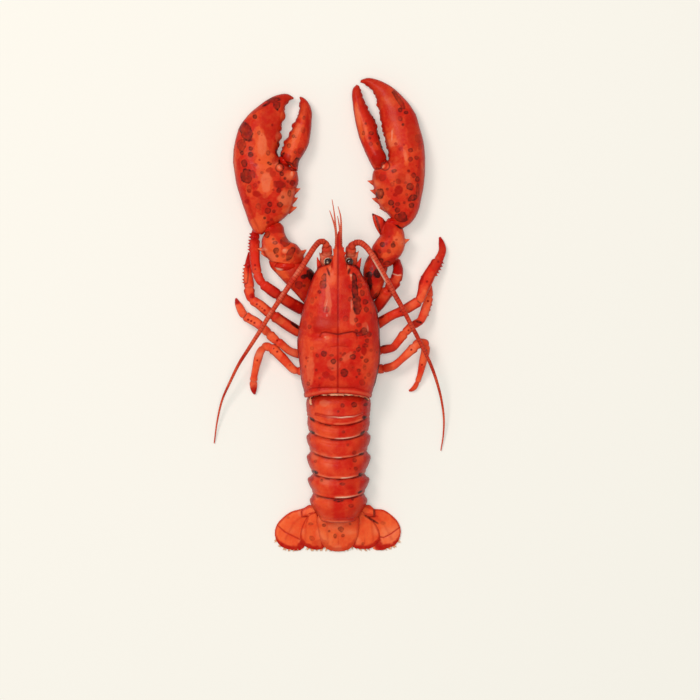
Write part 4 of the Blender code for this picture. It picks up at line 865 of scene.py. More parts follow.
ring_marks = sum(RING_MARKS.values(), [])
for number, (name, rows) in enumerate(TAIL_RINGS.items(), 1):
    y, lead, half, top, foot = rows[0]
    tucked = [(y + RING_TUCK, lead, half - 0.9, top - 1.1, foot + 0.8)] + list(rows)
    if number == 1:
        tucked[0] = (y + 1.4, lead, half - 0.8, top - 0.8, foot + 0.8)
    vault = [(y, lead, -half, half, top, foot) for y, lead, half, top, foot in tucked]
    ring = weld(name + "_shell", [arch_shell(vault, 40, TAIL_SECTION, 7.0, (19.5, 19.5))], 0.6, 3)
    points, normals = surface(ring)
    rear_y, rear_lead = rows[-1][0], rows[-1][1]
    front_y, front_lead = rows[0][0], rows[0][1]
    bow = np.minimum(np.abs(points[:, 0]) / BOW_REACH, 1.0) ** 2.2
    to_rear = points[:, 1] - (rear_y + rear_lead * bow)
    to_front = (front_y + front_lead * bow) - points[:, 1]
    on_top = ramp(normals[:, 2], 0.0, 0.3)
    side = ramp(np.abs(points[:, 0]), 17.0, 21.0)
    shaded_right_lobe = ramp(points[:, 0], 17.5, 20.0)
    crease = np.full(len(points), 99.0)
    if number == 1:
        crease = from_line(points, FIRST_RING_CREASE)
    warts, wart_kind = grains(points, 2.2, 50 + number)
    lift = (
        -0.10
        + 0.16 * bell(to_rear - 0.9, 0.8)
        - 0.22 * bell(to_rear - 2.4, 0.7)
        - 0.20 * bell(to_front - 2.6, 0.8)
        - 0.40 * bell(crease, 0.6) * on_top
        + 0.08 * bell(warts, 0.5) * (wart_kind > 0.5)
        + 0.10 * cloud(points, 6.0, 60 + number)
        - 0.12 * bell(np.abs(points[:, 0]) - 19.0, 1.6) * ramp(normals[:, 2], -0.2, 0.3)
    )
    press(ring, points, normals, lift)
    # Orange and pale on the left side are painted highlights on the side towards the lamp.
    left = ramp(-points[:, 0] + 3.0 * cloud(points, 6.0, 65 + number), -1.0, 12.0)
    half_widths = np.interp(-points[:, 1], [-row[0] for row in rows], [row[2] for row in rows])
    glow = 0.62 * left + 0.55 * bell(points[:, 0] - 14.5, 3.0)
    if number == 1:
        glow = glow * ramp(to_front, 4.0, 9.0)
    middle_cream = bell(points[:, 0] - 3.0, 9.0) * ramp(cloud(points, 5.0, 77 + number), -0.5, 0.2)
    # Painted shade: the deep red and brown on the front part that slides under the ring or shell before it,
    # beside the crease, and on the right lobe and right of the middle, away from the lamp. Painted
    # highlights: the cream and pale lines along the rear lip and the crease, and the pale patch on the first
    # ring.
    tint(
        ring,
        warm=0.12 + glow + 0.20 * cloud(points, 7.0, 70 + number) + 0.1 * cloud(points, 3.0, 71),
        deep=np.maximum.reduce([
            0.8 * bell(to_rear - 0.1, 0.6),
            0.45 * (1 - ramp(to_front, 0.2, 2.0)) * (1 - side),
            0.8 * ramp(np.abs(points[:, 0]) - half_widths, -1.6, -0.2),
            0.6 * shaded_right_lobe,
            0.55 * (1 - ramp(to_front + 2.0 * cloud(points, 4.0, 66), 2.0, 8.0)) if number == 1 else 0 * bow,
            0.8 * bell(crease - 0.6, 0.6) * on_top,
            0.4 * ramp(points[:, 0] + 4.0 * cloud(points, 5.0, 72), 3.0, 9.0)
            * (1 - side) * ramp(cloud(points, 8.0, 73 + number), -0.4, 0.4),
            0.7 * freckles(points, 5.5, 0.22, 0.7, 92 + number, 0.0),
        ]),
        stain=np.maximum.reduce([
            stain_map(points, normals, ring_marks, 80),
            freckles(points, 7.5, 0.14, 0.6, 90 + number) * 0.7,
            0.85 * bell(to_front + 0.2, 0.5) * ramp(cloud(points, 4.0, 95 + number), -0.6, 0.2)
            * on_top * (1 - side),
        ]),
        cream=np.maximum(
            0.85 * bell(to_rear - 0.75, 0.40) * middle_cream * (1 < number < 6),
            0.9 * bell(crease - 0.05, 0.30) * bell(points[:, 0] - 4.0, 8.0) * on_top,
        ),
        pale=np.maximum(
            0.80 * bell(to_rear - 1.0, 0.7) * ramp(cloud(points, 6.0, 76 + number), -0.5, 0.3),
            0.40 * left * ramp(cloud(points, 6.0, 78 + number), 0.0, 0.6)
            + 0.8 * bell(crease, 0.35) * bell(points[:, 0] - 5.0, 9.0) * on_top
            + (0.6 * area_map(points, [(-10.3, -43.4, 3.6, 2.2, 0, 1.0)], 79, 0.3) if number == 1 else 0.0),
        ),
    )
    dress(ring, back_shell, "cooked_shell_red", name)

# Tail fan: the middle plate and two pairs of side blades, thin flexible shell in brighter orange.
# The outer blades have a hinge line, all rear rims are deep red and carry a fringe of short bristles.
TELSON_ROWS = [
    (-14.4, -126, 13, -126, 13.6, 6.4),
    (-16.6, -131.5, 15.4, -130.8, 11.6, 6.2),
    (-15.6, -138.5, 15.2, -137.8, 8.4, 5),
    (-14.3, -145, 14.6, -144.2, 5.6, 3.8),
    (-12.4, -149.6, 12.5, -149, 3.8, 2.8),
    (-10.4, -152.7, 9.8, -152.7, 2.6, 2),
    (-6.2, -154.9, 5.4, -154.9, 1.8, 1.5),
    (-1.4, -155.7, 0.8, -155.7, 1.4, 1),
]
TAIL_BLADES = {
    "uropod_inner_left": [
        (-20.5, -124.6, -15.6, -126.6, 8.6, 5),
        (-24.5, -130.4, -14.5, -132, 7.4, 4.4),
        (-27.5, -136, -13, -137, 5.8, 3.8),
        (-29, -141.2, -12, -142, 4.5, 3.2),
        (-29, -146, -11, -146.6, 3.3, 2.6),
        (-27.3, -150, -10, -150.6, 2.3, 2),
        (-23.5, -152.8, -11.5, -153.3, 1.7, 1.6),
        (-19, -154.1, -15.5, -154.4, 1.2, 1),
    ],
    "uropod_inner_right": [
        (19, -124.6, 14.5, -126.6, 8.6, 5),
        (24, -130.2, 14, -132, 7.4, 4.4),
        (28.2, -135, 13.4, -137, 5.8, 3.8),
        (30.8, -140, 12.6, -142, 4.5, 3.2),
        (31.4, -145, 11.2, -146.4, 3.3, 2.6),
        (29, -149.8, 9.6, -150.2, 2.3, 2),
        (24.5, -153.2, 11.5, -152.8, 1.7, 1.6),
        (20, -154, 16, -153.8, 1.2, 1),
    ],
    "uropod_outer_left": [
        (-22.6, -121.2, -19.6, -127.2, 7.4, 5),
        (-28.8, -123.3, -22, -132, 5.9, 4.6),
        (-36, -125.4, -24.5, -136.5, 4.5, 3.8),
        (-42, -129.6, -26, -141, 3.3, 3.2),
        (-46.6, -135, -26.6, -145.5, 2.4, 2.8),
        (-48.4, -141, -26.6, -149.2, 1.8, 2.4),
        (-47, -147.4, -28.4, -152.4, 1.4, 2),
        (-43.2, -151.9, -31.4, -154.4, 1.1, 1.6),
        (-38, -154.2, -35, -154.7, 0.8, 1),
    ],
    "uropod_outer_right": [
        (20.6, -120.8, 18, -127, 7.4, 5),
        (27, -123, 21, -131.6, 5.9, 4.6),
        (34, -123.9, 25, -135.5, 4.5, 3.8),
        (39.2, -127.2, 28, -140, 3.3, 3.2),
        (44, -131.8, 29.6, -144, 2.4, 2.8),
        (46.9, -138, 30, -147.6, 1.8, 2.4),
        (46.2, -145.6, 29.6, -150.4, 1.4, 2),
        (42.6, -151, 31.4, -153, 1.1, 1.6),
        (38, -153.2, 35, -153.5, 0.8, 1),
    ],
}
BLADE_SEAMS = {
    "telson": [(0, -128), (0, -150)],
    "uropod_inner_left": [(-18.5, -127), (-21, -138), (-19.5, -150)],
    "uropod_inner_right": [(17, -127), (20.5, -138), (19.5, -150)],
    "uropod_outer_left": [(-47, -135), (-40.1, -141), (-35, -143.6), (-29, -146.5)],
    "uropod_outer_right": [(47, -136.6), (40.1, -141.8), (34.1, -145.1), (30, -144.4)],
}
BLADE_RIBS = {
    "telson": [(-9, -130), (-8, -150)],
    "uropod_inner_left": [(-24.5, -131), (-25, -147)],
    "uropod_inner_right": [(24.5, -131), (26, -147)],
    "uropod_outer_left": [(-25, -127), (-34, -134), (-40, -146)],
    "uropod_outer_right": [(24, -127), (33, -133), (40, -146)],
}
FAN_BLUSH = [
    (-25.4, -128.6, 3, 0.7, 20, 1), (-20, -126.6, 3.4, 0.9, 12, 1), (-23.4, -131.6, 0.6, 2.6, -18, 0.8),
    (-22, -121, 3, 0.9, -30, 0.8), (24.6, -128, 4.6, 1, -14, 0.8), (9.4, -152, 3, 2, 40, 0.6),
    (-14, -149, 5, 3, 0, 0.5), (-33, -152.6, 7, 1.6, 0, 0.8), (14, -127.6, 3.6, 2, 10, 0.7),
]
BLADE_STAINS = {
    "telson": [
        (1.8, -138.4, 2, 2, 0, 0.8), (-11, -135.4, 1.2, 1.1, 0, 0.8), (-2.6, -143.6, 1.2, 1.4, 0, 0.8),
        (3.4, -143.4, 1.2, 1, 0, 0.6), (-7, -140, 0.7, 0.7, 0, 0.7), (3.4, -131.2, 1, 1.3, 0, 0.8),
        (8.6, -134.6, 0.8, 0.8, 0, 0.7),
    ],
    "uropod_inner_left": [(-20, -145.6, 2, 1.7, 0, 0.45), (-21, -134.6, 1.6, 0.8, 0, 0.5)],
    "uropod_inner_right": [
        (18.4, -149.6, 1, 0.9, 0, 0.5), (24.2, -131, 4.6, 0.5, -32, 1.2),
        (21.4, -128.8, 1.4, 0.9, -30, 1),
    ],
    "uropod_outer_left": [(-38, -130, 1, 0.9, 0, 0.4)],
    "uropod_outer_right": [
        (33, -134, 2, 1, 0, 0.35), (25.4, -131.6, 4.2, 0.6, -32, 1.2), (26.6, -126, 0.5, 2.6, 0, 0.8),
    ],
}
FAN_REAR = -155.6
# Inner rear corners of the outer blades, which run on under the inner ones
BLADE_CORNERS = {
    "uropod_outer_left": [
        (-36, -148.6, -24.4, -146.6, 1.3, 1.5), (-36, -151.6, -24.8, -150.6, 1.1, 1.4),
        (-35.6, -153.8, -26, -152.6, 0.9, 1.4), (-34, -155.2, -28.4, -154.6, 0.8, 1.2),
    ],
    "uropod_outer_right": [
        (37, -147.6, 26, -146.6, 1.3, 1.5), (37, -150.8, 25.2, -150.6, 1.1, 1.4),
        (36, -153.4, 25.6, -153.2, 0.9, 1.4), (34, -154.8, 28, -154.8, 0.8, 1.2),
    ],
}
# Height, thickness and corners of the small plates that hinge the outer blades, seen from above
PLATE_HEIGHT = 7.4
PLATE_THICK = 3.4
ROOT_PLATES = {
    "uropod_outer_left": [
        (-27.4, -129), (-28, -125.2), (-25.4, -122), (-22.2, -120), (-17, -121), (-16.6, -126.4),
        (-21.8, -129),
    ],
    "uropod_outer_right": [
        (16.8, -127), (16.8, -122.4), (20.2, -120), (23.6, -120), (27.2, -123.4), (27.6, -128.6),
        (23.2, -129.4),
    ],
}


def root_plate(corners, top, foot):
    """A thick little plate with angular edges and a low crown."""
    corners = np.array(corners)
    middle = corners.mean(axis=0)
    dense = []
    for a, b in zip(corners, np.roll(corners, -1, axis=0)):
        dense += [a + (b - a) * s for s in (0.0, 0.25, 0.5, 0.75)]
    dense = np.array(dense)
    rings = []
    side = [(0.3, foot), (0.9, foot), (1.0, (top + foot) / 2)]
    crown = [(0.96, top - 0.9), (0.82, top - 0.3), (0.3, top)]
    for share, height in side + crown:
        flat = middle + (dense - middle) * share
        rings.append(np.column_stack([flat, np.full(len(flat), height)]))
    return closed_shell(rings)


# Flexible fan shell: brighter and more orange, with deep red hems
fan_shell = boiled_shell("boiled_tail_fan_shell", "e4411f", "f46835", "b40f07", "501510", "f68e62", 0.36, 1.1)
# Horny bristles: pale orange and matt
bristle_shell = boiled_shell("tail_fan_bristle", "e8783e", "f8ac6a", "b83a20", "6a2c1c", "f8c294", 0.5, 0.8)
bristles = []
for number, (name, rows) in enumerate([("telson", TELSON_ROWS)] + list(TAIL_BLADES.items())):
    shells = [rib_shell(rows, 60, 36, 2.4 if name == "telson" else 2.2)]
    hinge = name in ROOT_PLATES
    if hinge:
        top, foot = PLATE_HEIGHT + PLATE_THICK * 0.9, PLATE_HEIGHT - PLATE_THICK * 0.8
        shells.append(root_plate(ROOT_PLATES[name], top, foot))
        shells.append(rib_shell(BLADE_CORNERS[name], 30, 24, 3.0))
    blade = weld(name + "_blade", shells, 0.5, 3)
    points, normals = surface(blade)
    edge_rows = stations(rows, 80)
    outline = [(row[0], row[1]) for row in edge_rows] + [(row[2], row[3]) for row in edge_rows[::-1]]
    rim = from_line(points, outline)
    seam = from_line(points, BLADE_SEAMS[name])
    rib = from_line(points, BLADE_RIBS[name])
    rearward = ramp(-points[:, 1], 142.0, 150.0)
    hem = rim * (0.45 + 0.55 * (1 - rearward))
    on_top = ramp(normals[:, 2], -0.1, 0.3)
    plate_gap = np.full(len(points), 99.0)
    if hinge:
        plate_gap = from_line(points, ROOT_PLATES[name] + ROOT_PLATES[name][:1])
    spread = np.arctan2(points[:, 0] - rows[0][2], -(points[:, 1] + 118.0))
    middle_plate = name == "telson"
    lift = (
        -0.08
        - (0.5 if hinge else 0.22) * bell(seam, 0.6) * on_top
        + 0.28 * bell(rib, 1.3) * on_top
        + 0.05 * np.sin(spread * 90.0) * rearward
        + 0.07 * cloud(points, 5.0, 100 + number)
    )
    press(blade, points, normals, lift)
    tint(
        blade,
        warm=(
            0.62 + 0.30 * cloud(points, 9.0, 110 + number)
            - (0.34 if middle_plate else 0.0) * (1 - ramp(-points[:, 1], 132.0, 142.0))
        ),
        deep=np.maximum.reduce([
            0.95 * (1 - ramp(hem + 0.4 * cloud(points, 2.0, 125), 0.9, 2.0))
            * (0.7 + 0.3 * rearward) * (0.55 if middle_plate else 1.0),
            0.95 * bell(plate_gap, 0.75) * on_top,
            0.75 * area_map(points, FAN_BLUSH, 127),
            0.9 * bell(seam, 0.55) if hinge else 0.45 * bell(seam, 0.5) * rearward,
            0.30 * bell(rib, 0.9) * on_top,
        ]),
        stain=np.maximum(
            stain_map(points, normals, BLADE_STAINS[name], 120 + number),
            freckles(points, 7.0, 0.18, 0.5, 130 + number) * 0.4,
        ),
        pale=0.40 * ramp(cloud(points, 7.0, 140 + number), 0.0, 0.8) * on_top,
    )
    dress(blade, fan_shell, "cooked_shell_orange", name)
    rear_edge = [p for p in outline if p[1] < -146.0]
    dice = np.random.default_rng(150 + number)
    for (x1, y1), (x2, y2) in zip(rear_edge, rear_edge[1:]):
        long = math.hypot(x2 - x1, y2 - y1)
        for _ in range(max(1, int(long / 0.30))):
            s = dice.random()
            x, y = x1 + (x2 - x1) * s, y1 + (y2 - y1) * s
            if math.sin(x * 1.9 + number) + 0.6 * math.sin(x * 4.3 + 2.0) < 0.1:
                continue
            out = np.array([x - np.sign(x) * 14.0 if hinge else x * 0.6, y + 130.0])
            out = out / np.linalg.norm(out)
            length = dice.uniform(1.6, 2.9)
            root = np.array([x - out[0] * 0.8, y - out[1] * 0.8, dice.uniform(0.6, 1.3)])
            lean = np.array([out[0] + dice.normal(0, 0.12), out[1] + dice.normal(0, 0.06), 0.0])
            tip = root + lean * length
            tip[1] = max(tip[1], FAN_REAR)
            tip[2] = 0.45
            bristles.append(thorn_shell(root, tip, 0.42, 5, 3))
fringe = new_piece("tail_fan_bristles", *joined(bristles))
points, normals = surface(fringe)
tint(
    fringe,
    warm=0.6 + 0.4 * cloud(points, 3.0, 160),
    deep=0.3 * (cloud(points, 2.0, 161) > 0.3),
    pale=0.5 + 0.4 * cloud(points, 1.5, 162),
)
dress(fringe, bristle_shell, "cooked_shell_orange")

# Claws: a broad crusher on the left and a slim cutter on the right, thick hard shell.
# Each has a palm with a fixed finger, a hinged finger, a wrist and an arm; the biting edges
# carry rounded teeth, and thorns stand along the inner edges.
CRUSHER_PALM_ROWS = [
    (-63.6, 84.4, -57.5, 82.4, 15, 9),
    (-67, 91, -50.5, 88, 15.5, 17),
    (-70.2, 100, -39.5, 96, 15.5, 24),
    (-73.3, 109, -34.5, 104, 15.6, 28),
    (-76, 118, -32, 115, 15.6, 30.8),
    (-78, 127, -30.5, 125, 15.6, 32),
    (-79.1, 135, -31.4, 131, 15.4, 32),
    (-79.2, 141, -42.5, 137.5, 14.8, 30),
    (-78.9, 147, -46, 145, 14.2, 27.5),
    (-77.4, 155, -44.6, 153, 13.5, 24),
    (-74, 165, -43.8, 160.5, 12.5, 21),
    (-68, 173, -42, 168, 12, 18.5),
    (-60.5, 179.5, -40.8, 175, 11, 16),
    (-53, 184.8, -39.6, 180, 10.5, 13),
    (-45.5, 188, -37.8, 182.5, 10, 10),
    (-38.5, 188.7, -36, 184, 9.5, 7),
    (-33.6, 186.2, -33.6, 184.6, 9.2, 2.4),
]
CRUSHER_FINGER_ROWS = [
    (-30.6, 130, -38.5, 135.5, 14.5, 14),
    (-30.2, 133.6, -42.6, 139.6, 14.5, 18.5),
    (-29.4, 137.5, -44, 143, 14.2, 20.5),
    (-26.5, 142.4, -42.2, 147.6, 13.8, 20.5),
    (-23, 149, -39.4, 153.5, 13.4, 19.5),
    (-21, 158, -35.6, 160.5, 12.8, 17.5),
    (-20, 167.5, -32, 169, 12.2, 15),
    (-20, 176, -29.2, 176.4, 11.5, 12.5),
    (-22.4, 182, -29, 181.2, 11, 9.5),
    (-25.8, 185.6, -29, 184.2, 10.5, 6),
    (-28.8, 186.9, -29.8, 185.7, 10.2, 2.2),
]
CUTTER_PALM_ROWS = [
    (47, 86.6, 42, 91.5, 14.5, 9),
    (54.5, 91.5, 36.8, 98, 14.5, 17),
    (60, 100, 31.2, 103, 14.5, 22.5),
    (62.3, 109.5, 28, 109.5, 14.5, 26),
    (64, 118.5, 26.4, 117, 14.5, 28.6),
    (65, 128, 25, 125, 14.5, 30),
    (65.2, 136.5, 26.5, 131.5, 14.4, 29.8),
    (64.8, 145, 37.5, 139.5, 13.8, 27),
    (63.6, 154, 36.5, 148.5, 13, 24),
    (61, 163.5, 34.2, 158, 12.5, 20.5),
    (57.6, 174, 32, 168, 12, 18),
    (52, 182.6, 30.6, 177, 11.5, 16),
    (44.5, 190.2, 28.5, 184.5, 11, 13.5),
    (36.5, 196.2, 25.5, 191, 10.5, 11),
    (29.4, 199.6, 22, 194.5, 10, 8.5),
    (21.8, 201, 19.2, 196, 9.5, 6.6),
    (16.4, 199.4, 16, 197, 9, 2.6),
]
CUTTER_FINGER_ROWS = [
    (27.6, 130.5, 35, 135, 13.5, 12),
    (25, 134, 36.2, 139.6, 13.5, 15.5),
    (22.6, 138.5, 35.6, 143, 13.4, 17.5),
    (19.5, 145.5, 32.6, 148.5, 13, 17),
    (16, 154, 30, 157, 12.5, 15.5),
    (13.5, 163.5, 28, 166, 12, 14),
    (11.6, 172.5, 24.4, 173, 11.5, 13),
    (10.4, 181, 20, 181.5, 11, 11),
    (10, 187.5, 17.2, 188.5, 10.5, 8.5),
    (11, 193, 16.2, 192.5, 10, 6),
    (13.6, 195.7, 15.6, 194.6, 9.5, 2.4),
]
CRUSHER_WRIST_ROWS = [
    (-51.5, 62.4, -30.5, 59.6, 15.5, 13),
    (-54.5, 66.5, -26, 63, 16.2, 18),
    (-57, 72, -26.4, 68, 16.6, 20),
    (-58, 76.5, -31, 75, 16.6, 20),
    (-57, 81, -37, 78.5, 16.2, 18.5),
    (-55, 84.6, -40, 84, 15.6, 15.5),
    (-52.6, 88, -41, 88.8, 15.2, 12),
    (-49.8, 91, -44, 92, 15, 8),
]
CUTTER_WRIST_ROWS = [
    (29.5, 58.2, 39.5, 58.8, 15.5, 10),
    (26, 62.5, 44, 63.5, 16.2, 16),
    (24.5, 68, 48, 68.5, 16.6, 19),
    (25, 73.5, 50, 74, 16.6, 20),
    (28, 78.5, 50, 79.5, 16.4, 19.5),
    (31.5, 83, 49.5, 84, 16, 17.5),
    (32.6, 88, 48, 87.8, 15.4, 15),
    (34.6, 92, 44.6, 91.4, 15, 11),
    (37, 95.4, 41.4, 94.6, 14.6, 7),
]
CUTTER_SPUR_ROWS = [
    (31, 82, 34.5, 83, 17, 6),
    (27.6, 87.6, 34.8, 88.6, 17.6, 6.4),
    (25.8, 92.4, 35.2, 92.6, 18, 5.6),
    (25, 96.6, 33.4, 95.4, 18.2, 4),
    (24.8, 99, 26.6, 98.8, 18.4, 1.4),
]
CRUSHER_ARM_ROWS = [
    (-16, 22, -5, 41, 11, 10),
    (-21.5, 27, -10, 46, 12, 12.5),
    (-27, 32, -15.5, 51, 13, 14.5),
    (-33.5, 39.6, -19.6, 56, 14, 17),
    (-39.5, 45.4, -25, 59.6, 14.6, 18),
    (-46, 52.4, -29.5, 63.4, 15, 18),
    (-51, 58.4, -34, 68, 15.4, 15),
    (-52.5, 63, -39, 71.5, 15.6, 11),
]
CUTTER_ARM_ROWS = [
    (8, 28, 18, 24, 11, 10),
    (15, 33, 25, 31.5, 12, 12),
    (18.6, 39, 31, 38.6, 13, 13.5),
    (19, 45, 33.8, 44.6, 14, 15.5),
    (18.4, 52, 35.5, 51.5, 14.8, 17),
    (18.8, 58.6, 37, 57.8, 15.2, 16.5),
    (20.8, 64.4, 36.6, 63.4, 15.4, 14),
    (23, 67.6, 33.6, 67.6, 15.6, 9),
]
# Root, tip and radius of each thorn; a thorn whose tip is above KNOB_TIP only colours a hinge knob
KNOB_TIP = 26.0
CLAW_SPINES = {
    "crusher_palm": [
        ((-35, 114, 17), (-28.4, 117.6, 18), 3),
        ((-36.5, 107, 17), (-30.2, 110.6, 18), 3),
        ((-38, 100.5, 16.5), (-31, 103.6, 17.5), 2.8),
        ((-45.5, 135, 16), (-44.4, 133.6, 28.4), 3.4),
        ((-37.5, 126, 17), (-36.2, 126.4, 27.2), 3.2),
    ],
    "cutter_palm": [
        ((29, 120.5, 16), (21, 123.4, 17), 3),
        ((30.5, 113.5, 16), (23.2, 116.4, 17), 3),
        ((31.5, 107.5, 16), (24.6, 110.2, 17), 2.8),
        ((36, 101.5, 15.5), (30, 102.6, 16.5), 2.4),
    ],
    "crusher_wrist": [
        ((-55, 71, 17), (-61.2, 72.4, 17.6), 2.8),
        ((-53.5, 67.5, 17), (-58.6, 68.8, 17.6), 2.4),
        ((-29, 67.6, 18), (-24, 71.6, 19), 2.8),
    ],
    "cutter_wrist": [
        ((47, 76.5, 17), (53.6, 79.4, 17.6), 2.8),
    ],
}
CLAW_TEETH = {
    "crusher_palm": [
        ((-46.4, 150.4, 13.8), (2.6, 3, 4.6)),
        ((-45, 156.6, 13.2), (2.8, 3.4, 4.6)),
        ((-44.6, 162.6, 12.6), (2.4, 2.4, 4)),
        ((-42.4, 172, 11.8), (2.8, 4, 4)),
    ],
    "crusher_finger": [
        ((-39.2, 151.8, 13.4), (2.4, 2.6, 4.2)),
        ((-35.2, 158.6, 13), (2.4, 2.6, 4)),
        ((-33.2, 164.4, 12.6), (2.4, 2.6, 3.8)),
    ],
    "cutter_palm": [
        ((30.6, 180.4, 11.4), (2.6, 2.2, 2.8)),
        ((33.2, 172.4, 11.8), (2.4, 2, 2.8)),
        ((35.2, 162, 12.4), (2.6, 2.6, 3.2)),
        ((38.8, 149.8, 13.2), (2.4, 2.6, 3.4)),
    ],
    "cutter_finger": [
        ((17.6, 183.2, 11), (2.2, 2, 2.6)),
        ((20.4, 178.2, 11.2), (2.4, 2, 2.8)),
        ((25.6, 166, 12), (2.6, 2.4, 3.2)),
    ],
}
